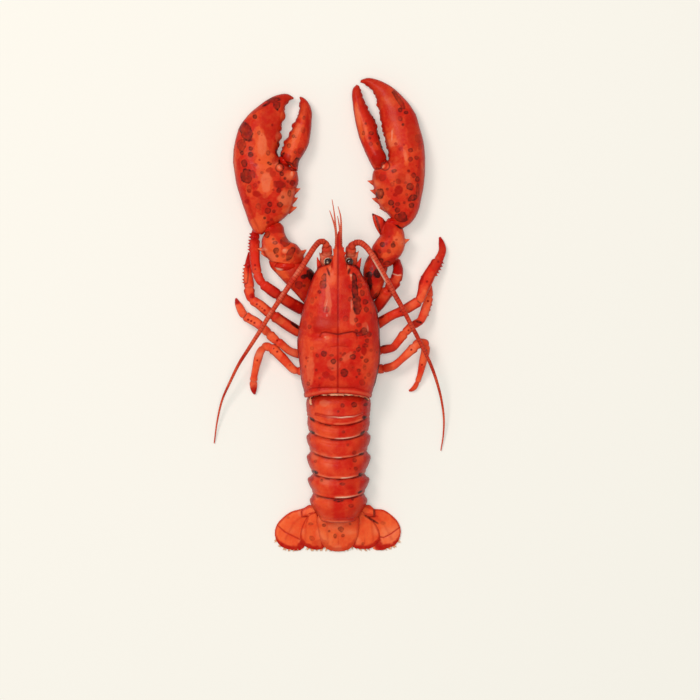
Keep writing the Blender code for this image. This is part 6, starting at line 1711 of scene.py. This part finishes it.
LEG_BLUSH = {
    "leg_right_1": [(43.4, 58.6, 5.4, 5.6, 0, 1), (30, 30, 7, 4.6, 50, 0.5)],
    "leg_right_2": [
        (76, 62, 7, 9, -20, 0.5), (77.6, 74, 5, 8, 0, 0.7), (62, 50, 1.6, 5, 0, 0.6),
    ],
    "leg_right_3": [(38, -3, 6, 4, 0, 0.6), (59.6, 16.4, 3.4, 2.4, 0, 0.7)],
    "leg_right_4": [(36, -17, 5, 3.6, 0, 0.6)],
    "leg_left_1": [
        (-30, 27, 10, 6, 30, 0.8), (-60.6, 84, 6, 9, 0, 0.7), (-48, 39, 7, 4, 34, 0.5),
    ],
    "leg_left_2": [
        (-67.4, 66, 3, 9, 0, 1), (-38, 18.6, 8, 1.4, -36, 0.6), (-65, 36.6, 1.6, 1.6, 0, 0.8),
    ],
    "leg_left_3": [(-76.6, 34.6, 2.6, 3, 0, 1)],
    "leg_left_4": [(-63.6, -34, 3, 4, 0, 0.8)],
}
LEG_STAINS = {
    "leg_left_2": [(-32.4, 14.4, 3.6, 0.9, -40, 1.3)],
    "leg_right_1": [(29.4, 37.4, 0.7, 2.6, -30, 1)],
    "leg_right_2": [(32.6, 20.8, 1.8, 0.6, 30, 1)],
    "leg_right_3": [(60.4, 17.2, 2.2, 0.8, -20, 1.1), (33.2, -0.7, 1.8, 0.6, 0, 1.1)],
}
# Fine dark and pale lines where two segments meet
LEG_DARK_LINES = {
    "leg_left_2": [(-67.8, 59.4), (-67.9, 52), (-68.4, 46.6), (-70.8, 45.4)],
    "leg_right_2": [(59.4, 33), (62, 30.6)],
    "leg_left_3": [(-69, 23.4), (-71.4, 20.4)],
    "leg_right_4": [(62, -2), (66, -4)],
}
# The pale line is a painted highlight
LEG_PALE_LINES = {
    "leg_right_1": [(40.2, 53.6), (42.2, 52.9), (44.4, 52.2), (47, 52.4)],
}
# Shares of orange and of deep red in each leg
LEG_TONES = {
    "leg_left_1": (0.12, 0.45), "leg_left_2": (0.36, 0.26),
    "leg_left_3": (0.60, 0.12), "leg_left_4": (0.78, 0.06),
    "leg_right_1": (0.14, 0.42), "leg_right_2": (0.30, 0.22),
    "leg_right_3": (0.46, 0.16), "leg_right_4": (0.66, 0.10),
}
# Lowest and highest y, number, side, radius and reach of the teeth
HAND_TEETH = {
    "leg_left_1": (71, 83, 6, 1, 1.1, 1.9),
    "leg_left_2": (47, 59.5, 6, 1, 1.1, 1.8),
    "leg_right_2": (54.5, 63.5, 5, -1, 1, 1.9),
    "leg_right_3": (23, 31, 3, -1, 0.9, 1.1),
}
SMALL_FINGERS = {
    "leg_right_2": [((63.6, 47, 13.4), (61.8, 52.2, 11.6), 2.2)],
    "leg_left_2": [((-66.6, 60, 6), (-65.8, 69.6, 3), 2)],
}


def edge_spikes(rows, low_y, high_y, count, side, radius, reach):
    """A row of short teeth along one edge of a leg's hand, side -1 or 1 as seen along the leg."""
    line = stations(rows, 240)
    heading = np.gradient(line[:, :2], axis=0)
    picked = [n for n in range(120, 240) if low_y < line[n, 1] < high_y]
    spikes = []
    for n in np.array(picked)[np.linspace(0, len(picked) - 1, count).astype(int)]:
        ahead = heading[n] / np.linalg.norm(heading[n])
        out = np.array([-ahead[1], ahead[0]]) * side
        root = line[n, :2] + out * (line[n, 3] / 2 - radius)
        tip = line[n, :2] + out * (line[n, 3] / 2 + reach) + ahead * 0.7
        spikes.append(thorn_shell((*root, line[n, 2]), (*tip, line[n, 2]), radius, 10, 6))
    return spikes


def hand_fit(name, y):
    """Sideways shift in mm and share of the width of a leg's hand at y."""
    if name == "leg_left_1":
        return (0.0, 1.12 if y > 69.0 else 1.0)
    if name == "leg_left_2":
        return (1.0, 1.12) if 38.0 < y < 66.0 else (0.0, 1.0)
    if name == "leg_right_2":
        return (-0.5, 0.97) if y > 63.0 else (-0.2, 1.22 if y > 40.0 else 1.06)
    return (0.0, 1.0)


# Thin leg shell: brighter, in tones from deep red at the front to orange at the rear
leg_shell = boiled_shell("boiled_leg_shell", "e2301a", "f6673a", "b00c07", "3a110f", "f6906a", 0.34, 1.1)
for number, (name, rows) in enumerate(LEG_PATHS.items()):
    fits = [hand_fit(name, row[1]) for row in rows]
    rows = [
        (x + shift, y, height, wide * share, thick)
        for (x, y, height, wide, thick), (shift, share) in zip(rows, fits)
    ]
    shells = [path_shell(rows, 150, 24, 2.2, LEG_JOINTS[name])]
    shells += [thorn_shell(*finger, 10, 8) for finger in SMALL_FINGERS.get(name, [])]
    if name in HAND_TEETH:
        shells += edge_spikes(rows, *HAND_TEETH[name])
    leg = weld(name + "_shell", shells, 0.48, 3)
    points, normals = surface(leg)
    spine = stations(rows, 200)
    at_joint = np.full(len(points), 99.0)
    for joint in LEG_JOINTS[name]:
        place = spine[int(joint * 199), :3]
        at_joint = np.minimum(at_joint, np.linalg.norm(points - place, axis=1))
    off_line = from_line(points, [(row[0], row[1]) for row in spine[::4]])
    on_top = ramp(normals[:, 2], 0.0, 0.4)
    lift = -0.08 + 0.10 * cloud(points, 4.0, 270 + number) - 0.10 * bell(off_line, 0.5) * on_top
    press(leg, points, normals, lift)
    warm_base, deep_base = LEG_TONES[name]
    far = np.full(len(points), 9.0)
    dark_line = from_line(points, LEG_DARK_LINES[name]) if name in LEG_DARK_LINES else far
    pale_line = from_line(points, LEG_PALE_LINES[name]) if name in LEG_PALE_LINES else far
    dots = [(np.hypot(points[:, 0] - x, points[:, 1] - y), size) for x, y, size in LEG_DOTS[name]]
    tip_gap = np.linalg.norm(points - spine[-1, :3], axis=1)
    # The deep red towards the edges and the brown line just inside them are painted shade along the outline.
    tint(
        leg,
        warm=(
            0.7 * warm_base + 0.6 * area_map(points, LEG_GLOW[name], 284 + number, 0.24)
            + 0.2 * cloud(points, 8.0, 280 + number) + 0.2 * ramp(-normals[:, 2], 0.2, 0.9)
        ),
        deep=np.maximum(
            0.5 * deep_base + 0.40 * bell(at_joint, 3.4) * ramp(cloud(points, 3.0, 290), -0.5, 0.5)
            + 0.6 * bell(tip_gap, 5.0) + 0.25 * ramp(off_line, 2.2, 3.4)
            + 0.85 * area_map(points, LEG_BLUSH[name], 286 + number, 0.3),
            np.maximum.reduce([1 - ramp(gap, size * 0.8, size * 1.2) for gap, size in dots]) * on_top,
        ),
        cream=0.5 * bell(pale_line, 0.4) * on_top,
        stain=np.maximum.reduce([
            stain_map(points, normals, LEG_STAINS.get(name, []), 294 + number),
            0.75 * bell(dark_line, 0.42) * on_top,
            freckles(points, 6.0, 0.2, 0.6, 300 + number) * 0.5,
            0.35 * bell(off_line - 3.7, 0.5) * on_top,
            0.4 * np.maximum.reduce([bell(gap, size) for gap, size in dots]) * on_top,
            0.55 * bell(at_joint, 1.1) * ramp(cloud(points, 2.0, 305 + number), -0.2, 0.4),
        ]),
        pale=0.5 * ramp(cloud(points, 7.0, 310 + number), 0.1, 0.8) * on_top * ramp(warm_base, 0.2, 0.8),
    )
    dress(leg, leg_shell, "cooked_shell_deep_red", name)

# Feelers: two long whips on jointed bases that curl out, back and down over the legs, and two
# pairs of short fine ones by the rostrum. The whips are made of hundreds of tiny horny rings.
FEELER_BASES = {
    "feeler_base_left": [
        (-10.8, 51, 22.4, 7, 6), (-10.2, 55.4, 23.2, 9.8, 9.4), (-9.4, 61, 24.2, 10.4, 10),
        (-8.7, 67, 25.6, 9.2, 9.6), (-8.8, 72.4, 29.2, 7.2, 8), (-9.6, 75.6, 32, 5.4, 6.2),
        (-10.9, 77.1, 33.6, 4, 4.2),
    ],
    "feeler_base_right": [
        (10.8, 51, 22.4, 7, 6), (10.2, 55.4, 23.2, 9.8, 9.4), (9.6, 61, 24.2, 10, 10),
        (9.2, 66.6, 25.6, 8.8, 9.6), (9.2, 71.2, 29, 7.6, 8.2), (10.2, 74.2, 31.8, 6.2, 6.6),
        (12, 76, 33.5, 4.6, 4.6),
    ],
}
FEELER_BASE_THORNS = {
    "feeler_base_left": ((-10.6, 62, 25.6), (-14.4, 69.3, 27.6), 2.6),
    "feeler_base_right": ((10.8, 62.4, 25.6), (15.2, 70.6, 27.6), 2.6),
}
FEELER_PATHS = {
    "feeler_left": [
        (-10.6, 77.3, 34.4, 4.3, 4.3), (-14, 77, 36.4, 4.4, 4.4), (-17.4, 73.6, 38.6, 4.3, 4.3),
        (-22.2, 66.2, 41, 4.3, 4.2), (-27.8, 57.4, 41.5, 4.2, 4.1), (-34.8, 47.2, 40.5, 4.1, 4),
        (-42.4, 35.8, 38, 3.9, 3.8), (-50.6, 23.6, 35, 3.6, 3.5), (-58.6, 10.6, 31, 3.3, 3.2),
        (-66.6, -1.8, 27, 2.9, 2.9), (-74.6, -14.2, 22, 2.5, 2.5), (-81.2, -27.4, 16.5, 2.1, 2.1),
        (-87.3, -41, 11, 1.7, 1.7), (-91.2, -57, 5.6, 1.3, 1.3), (-93.6, -74, 0.9, 0.9, 0.9),
    ],
    "feeler_right": [
        (12.2, 76.3, 34.5, 4.7, 4.5), (16, 76.4, 36.2, 4.7, 4.5), (19.8, 74, 38.4, 4.5, 4.4),
        (24.6, 68, 40.5, 4.3, 4.3), (29.5, 60, 41.5, 4.2, 4.2), (35.5, 49.5, 41, 4.1, 4),
        (41.5, 38.5, 39.5, 3.9, 3.9), (47.5, 28, 37, 3.7, 3.6), (53.2, 17, 34, 3.4, 3.4),
        (59, 6, 30.5, 3.2, 3.1), (64.6, -5, 26.5, 2.8, 2.8), (69.8, -16.5, 22, 2.5, 2.5),
        (74, -28.5, 17, 2.2, 2.2), (77.4, -42, 11.5, 1.8, 1.8), (79.2, -56, 6.5, 1.5, 1.5),
        (78.8, -68, 3, 1.2, 1.2), (77, -79.6, 0.8, 0.8, 0.8),
    ],
}
SMALL_FEELERS = {
    "small_feeler_left": [
        [(-2.4, 60, 30.8, 3.2, 3.6), (-1.9, 70, 33, 2.8, 3.2), (-1.5, 81, 35.6, 2.1, 2.2)],
        [(-1.6, 79, 35.8, 1.9, 1.9), (-2.4, 87, 37, 1.6, 1.6), (-4.4, 94, 37.5, 1.2, 1.2),
         (-6.7, 100.5, 37, 0.6, 0.6)],
        [(-1.4, 79, 36, 1.9, 1.9), (-2.1, 88, 38.5, 1.5, 1.5), (-3.1, 98, 40, 1.1, 1.1),
         (-4.8, 108.6, 41, 0.6, 0.6)],
    ],
    "small_feeler_right": [
        [(2.4, 60, 30.8, 3.2, 3.6), (2, 70, 33, 2.8, 3.2), (1.7, 81, 35.6, 2.1, 2.2)],
        [(1.8, 79, 36, 1.9, 1.9), (2, 88, 38.5, 1.6, 1.6), (1.5, 96.4, 40, 1.1, 1.1),
         (-0.4, 103.6, 41, 0.6, 0.6)],
        [(1.4, 79, 35.8, 1.9, 1.9), (0.7, 88, 37, 1.3, 1.3), (-0.7, 96.4, 37.5, 0.6, 0.6)],
    ],
}
# Horny whip shell: darker and brick red, dull between its rings
whip_shell = boiled_shell("boiled_ringed_whip", "c42c18", "df5a38", "900f0a", "541a14", "f09a78", 0.38, 0.9)
WHIP_ROWS = 900
WHIP_SIDES = 14
for number, (name, rows) in enumerate(FEELER_BASES.items()):
    shells = [path_shell(rows, 80, 28, 2.2, (0.30, 0.58, 0.84)), thorn_shell(*FEELER_BASE_THORNS[name])]
    base = weld(name + "_shell", shells, 0.42, 3)
    points, normals = surface(base)
    press(base, points, normals, -0.08 + 0.08 * cloud(points, 3.0, 320 + number))
    tint(
        base,
        warm=0.5 + 0.3 * cloud(points, 5.0, 322 + number) + 0.4 * bell(points[:, 1] - 66.4, 2.4),
        deep=0.35 * ramp(cloud(points, 3.0, 324 + number), 0.1, 0.7),
        stain=freckles(points, 4.0, 0.3, 0.5, 326 + number) * 0.5,
        pale=0.35 * ramp(cloud(points, 4.0, 328), 0.1, 0.7) + 0.4 * bell(points[:, 1] - 66.6, 1.2),
    )
    dress(base, whip_shell, "whip_red", name)
for number, (name, rows) in enumerate(FEELER_PATHS.items()):
    whip_shells = [path_shell(rows, WHIP_ROWS, WHIP_SIDES, 2.0, (), 0.028)]
    whip = new_piece(name + "_whip", *joined(whip_shells))
    points, normals = surface(whip)
    spine = stations(rows, WHIP_ROWS)
    step = np.concatenate([[0.0], np.cumsum(np.linalg.norm(np.diff(spine[:, :3], axis=0), axis=1))])
    along = step[np.minimum(np.arange(len(points)) // WHIP_SIDES, WHIP_ROWS - 1)]
    ring_phase = np.sin(2 * math.pi * along / 2.3)
    lamp_side = ramp(-normals[:, 0] + 0.5 * normals[:, 1] + normals[:, 2], 0.6, 1.5)
    left_edge_highlight = ramp(-0.86 * normals[:, 0] - 0.5 * normals[:, 1], 0.45, 0.75) * ramp(normals[:, 2], 0.1, 0.4)
    # The pale on the side towards the lamp and the cream line down the right whip's left edge are painted
    # highlights, the brown underneath is painted shade.
    tint(
        whip,
        warm=0.36 + 0.3 * cloud(points, 12.0, 330 + number) + 0.3 * ramp(along / step[-1], 0.4, 1.0),
        deep=0.50 * ramp(ring_phase, 0.3, 0.95) + 0.25 * ramp(cloud(points, 5.0, 335 + number), 0.0, 0.6),
        stain=0.25 * ramp(-normals[:, 2], 0.3, 0.9),
        pale=(
            0.40 * lamp_side * ramp(cloud(points, 6.0, 337 + number), -0.2, 0.5)
            * (1 - ramp(along / step[-1], 0.35, 0.6))
        ),
        cream=(
            0.8 * left_edge_highlight * ramp(points[:, 1], 45.0, 49.0) * (1 - ramp(points[:, 1], 62.0, 66.0))
            * (name == "feeler_right")
        ),
    )
    dress(whip, whip_shell, "whip_red", name)
for number, (name, (stalk, first, second)) in enumerate(SMALL_FEELERS.items()):
    twig = weld(
        name + "_shell",
        [
            path_shell(stalk, 40, 14, 2.0, (0.35, 0.7)),
            path_shell(first, 60, 10, 2.0),
            path_shell(second, 60, 10, 2.0),
        ],
        0.24,
        1,
    )
    points, normals = surface(twig)
    tint(
        twig,
        warm=0.7 + 0.3 * cloud(points, 5.0, 340 + number),
        deep=0.4 * ramp(np.sin(points[:, 1] * 4.0), 0.2, 0.9),
        pale=0.3,
    )
    dress(twig, whip_shell, "whip_red", name)

# Eyes: glossy brown-black beads on short stalks under the rostrum.
# Boiling leaves the bead clear and wet-looking, the stalk orange.
EYE_PATH = [
    (4, 57.6, 36.4, 3.6, 3.8), (5.2, 59.2, 36.8, 4.4, 4.6), (6.5, 60.8, 37.3, 5.6, 5.6),
    (8, 62.2, 37.6, 6.2, 6.2), (9.4, 63.3, 37.8, 5, 5), (10.3, 64, 37.9, 1.8, 1.8),
]
# Shift of each eye along x, since the head is not quite even
EYE_SHIFTS = {"eye_left": 0, "eye_right": 0.2}
bead, bead_tree, bead_shader = new_material("wet_eye_bead", {"Roughness": 0.08, "Coat Weight": 0.6})
bead_colour = hex_colour("2a1210")
for layer, shade in (("stalk", "d4532c"), ("glow", "5a2018"), ("lid", "ecd6b4")):
    mask = add(bead_tree, "ShaderNodeAttribute", attribute_name=layer).outputs["Fac"]
    bead_colour = add(
        bead_tree,
        "ShaderNodeMix",
        {"Factor": mask, "A": bead_colour, "B": hex_colour(shade)},
        data_type="RGBA",
    ).outputs["Result"]
bead_tree.links.new(bead_colour, bead_shader.inputs["Base Color"])
# The facets of the bead are drawn 0.3 mm wide, as coarse as they need to show
bead_place = add(bead_tree, "ShaderNodeTexCoord").outputs["Object"]
facets = add(bead_tree, "ShaderNodeTexVoronoi", {"Vector": bead_place, "Scale": 3300.0})
bead_bump = add(
    bead_tree,
    "ShaderNodeBump",
    {"Height": facets.outputs["Distance"], "Strength": 0.08, "Distance": 0.0001},
)
bead_tree.links.new(bead_bump.outputs["Normal"], bead_shader.inputs["Normal"])
for name, shift in EYE_SHIFTS.items():
    sign = 1.0 if name == "eye_right" else -1.0
    rows = [(sign * x + shift, y, height, wide, thick) for x, y, height, wide, thick in EYE_PATH]
    eye = weld(name + "_bead", [path_shell(rows, 60, 32, 2.0)], 0.28, 4)
    points, normals = surface(eye)
    off_x, off_y = points[:, 0] - 8.1 * sign, points[:, 1] - 62.3
    off = np.hypot(off_x, off_y)
    toward_lamp = (-0.8 * off_x + 0.6 * off_y) / np.maximum(off, 0.1)
    # The pale crescent on the side towards the lamp and the pale spot on the left eye are painted highlights.
    tint(
        eye,
        stalk=1 - ramp(np.abs(points[:, 0]) * 0.8 + (points[:, 1] - 60.0) * 0.6, 5.2, 5.8),
        glow=0.9 * bell(off_x - 0.3, 1.5) * bell(off_y + 1.2, 1.1),
        lid=np.maximum(
            ramp(off, 2.15, 2.5) * ramp(toward_lamp, 0.1, 0.6) * (0.9 if name == "eye_left" else 0.45),
            0.75 * bell(np.hypot(off_x + 0.1, off_y + 0.7), 0.55) * (name == "eye_left"),
        ),
    )
    dress(eye, bead, "eye_dark", name)

# Mouth legs: the hairy outer pair folded under the head, hidden from above. They are jointed
# tubes of thin shell like the walking legs, hinged beside the mouth.
MOUTH_LEG_PATH = [
    (-4.6, 31, 9.6, 5.6, 7), (-4.9, 38, 9.2, 6.4, 8), (-5.2, 47, 9.6, 6.4, 8), (-5.2, 55, 11.4, 6, 7.2),
    (-4.8, 60.6, 13.8, 5.2, 5.8), (-4.2, 63.8, 15.8, 3.6, 3.8), (-3.8, 65.4, 16.6, 1.6, 1.8),
]
for side, sign in (("left", 1.0), ("right", -1.0)):
    name = "mouth_leg_" + side
    rows = [(sign * x, y, height, wide, thick) for x, y, height, wide, thick in MOUTH_LEG_PATH]
    mouth_leg = weld(name + "_shell", [path_shell(rows, 80, 20, 2.2, (0.3, 0.6, 0.85))], 0.45, 3)
    points, normals = surface(mouth_leg)
    press(mouth_leg, points, normals, -0.08 + 0.08 * cloud(points, 3.0, 350))
    tint(
        mouth_leg,
        warm=0.6 + 0.3 * cloud(points, 5.0, 351),
        deep=0.3 * ramp(cloud(points, 3.0, 352), 0.0, 0.7),
        stain=freckles(points, 5.0, 0.2, 0.5, 353) * 0.5,
        pale=0.4 + 0.3 * cloud(points, 4.0, 354),
    )
    dress(mouth_leg, leg_shell, "cooked_shell_orange", name)

# Swimmerets: five pairs of soft paddles under the tail rings, thin pale shell, hidden from above.
# Each pair hangs from the underside of one of the first five rings.
SWIMMERET_ROOTS = {1: -46, 2: -63, 3: -76, 4: -90.5, 5: -105.5}
for ring_number, y in SWIMMERET_ROOTS.items():
    for side, sign in (("left", -1.0), ("right", 1.0)):
        name = f"swimmeret_{side}_{ring_number}"
        leaf = [
            (sign * 5.5, y + 1.0, sign * 9.0, y + 1.0, 5.6, 1.8),
            (sign * 5.0, y - 3.5, sign * 13.5, y - 3.0, 4.6, 2.0),
            (sign * 6.0, y - 8.0, sign * 14.5, y - 7.6, 3.2, 1.8),
            (sign * 9.2, y - 12.0, sign * 12.0, y - 12.0, 1.8, 1.0),
        ]
        paddle = weld(name + "_paddle", [rib_shell(leaf, 30, 20)], 0.45, 3)
        points, normals = surface(paddle)
        press(
            paddle,
            points,
            normals,
            -0.05 + 0.10 * np.sin(points[:, 0] * 2.4) * ramp(-normals[:, 2], 0.0, 0.5),
        )
        tint(
            paddle,
            warm=0.5 + 0.3 * cloud(points, 4.0, 360),
            deep=0.3 * ramp(cloud(points, 3.0, 361), 0.2, 0.8),
            pale=0.6 + 0.3 * cloud(points, 3.0, 362),
        )
        dress(paddle, thin_shell, "thin_shell_pale_orange", name)
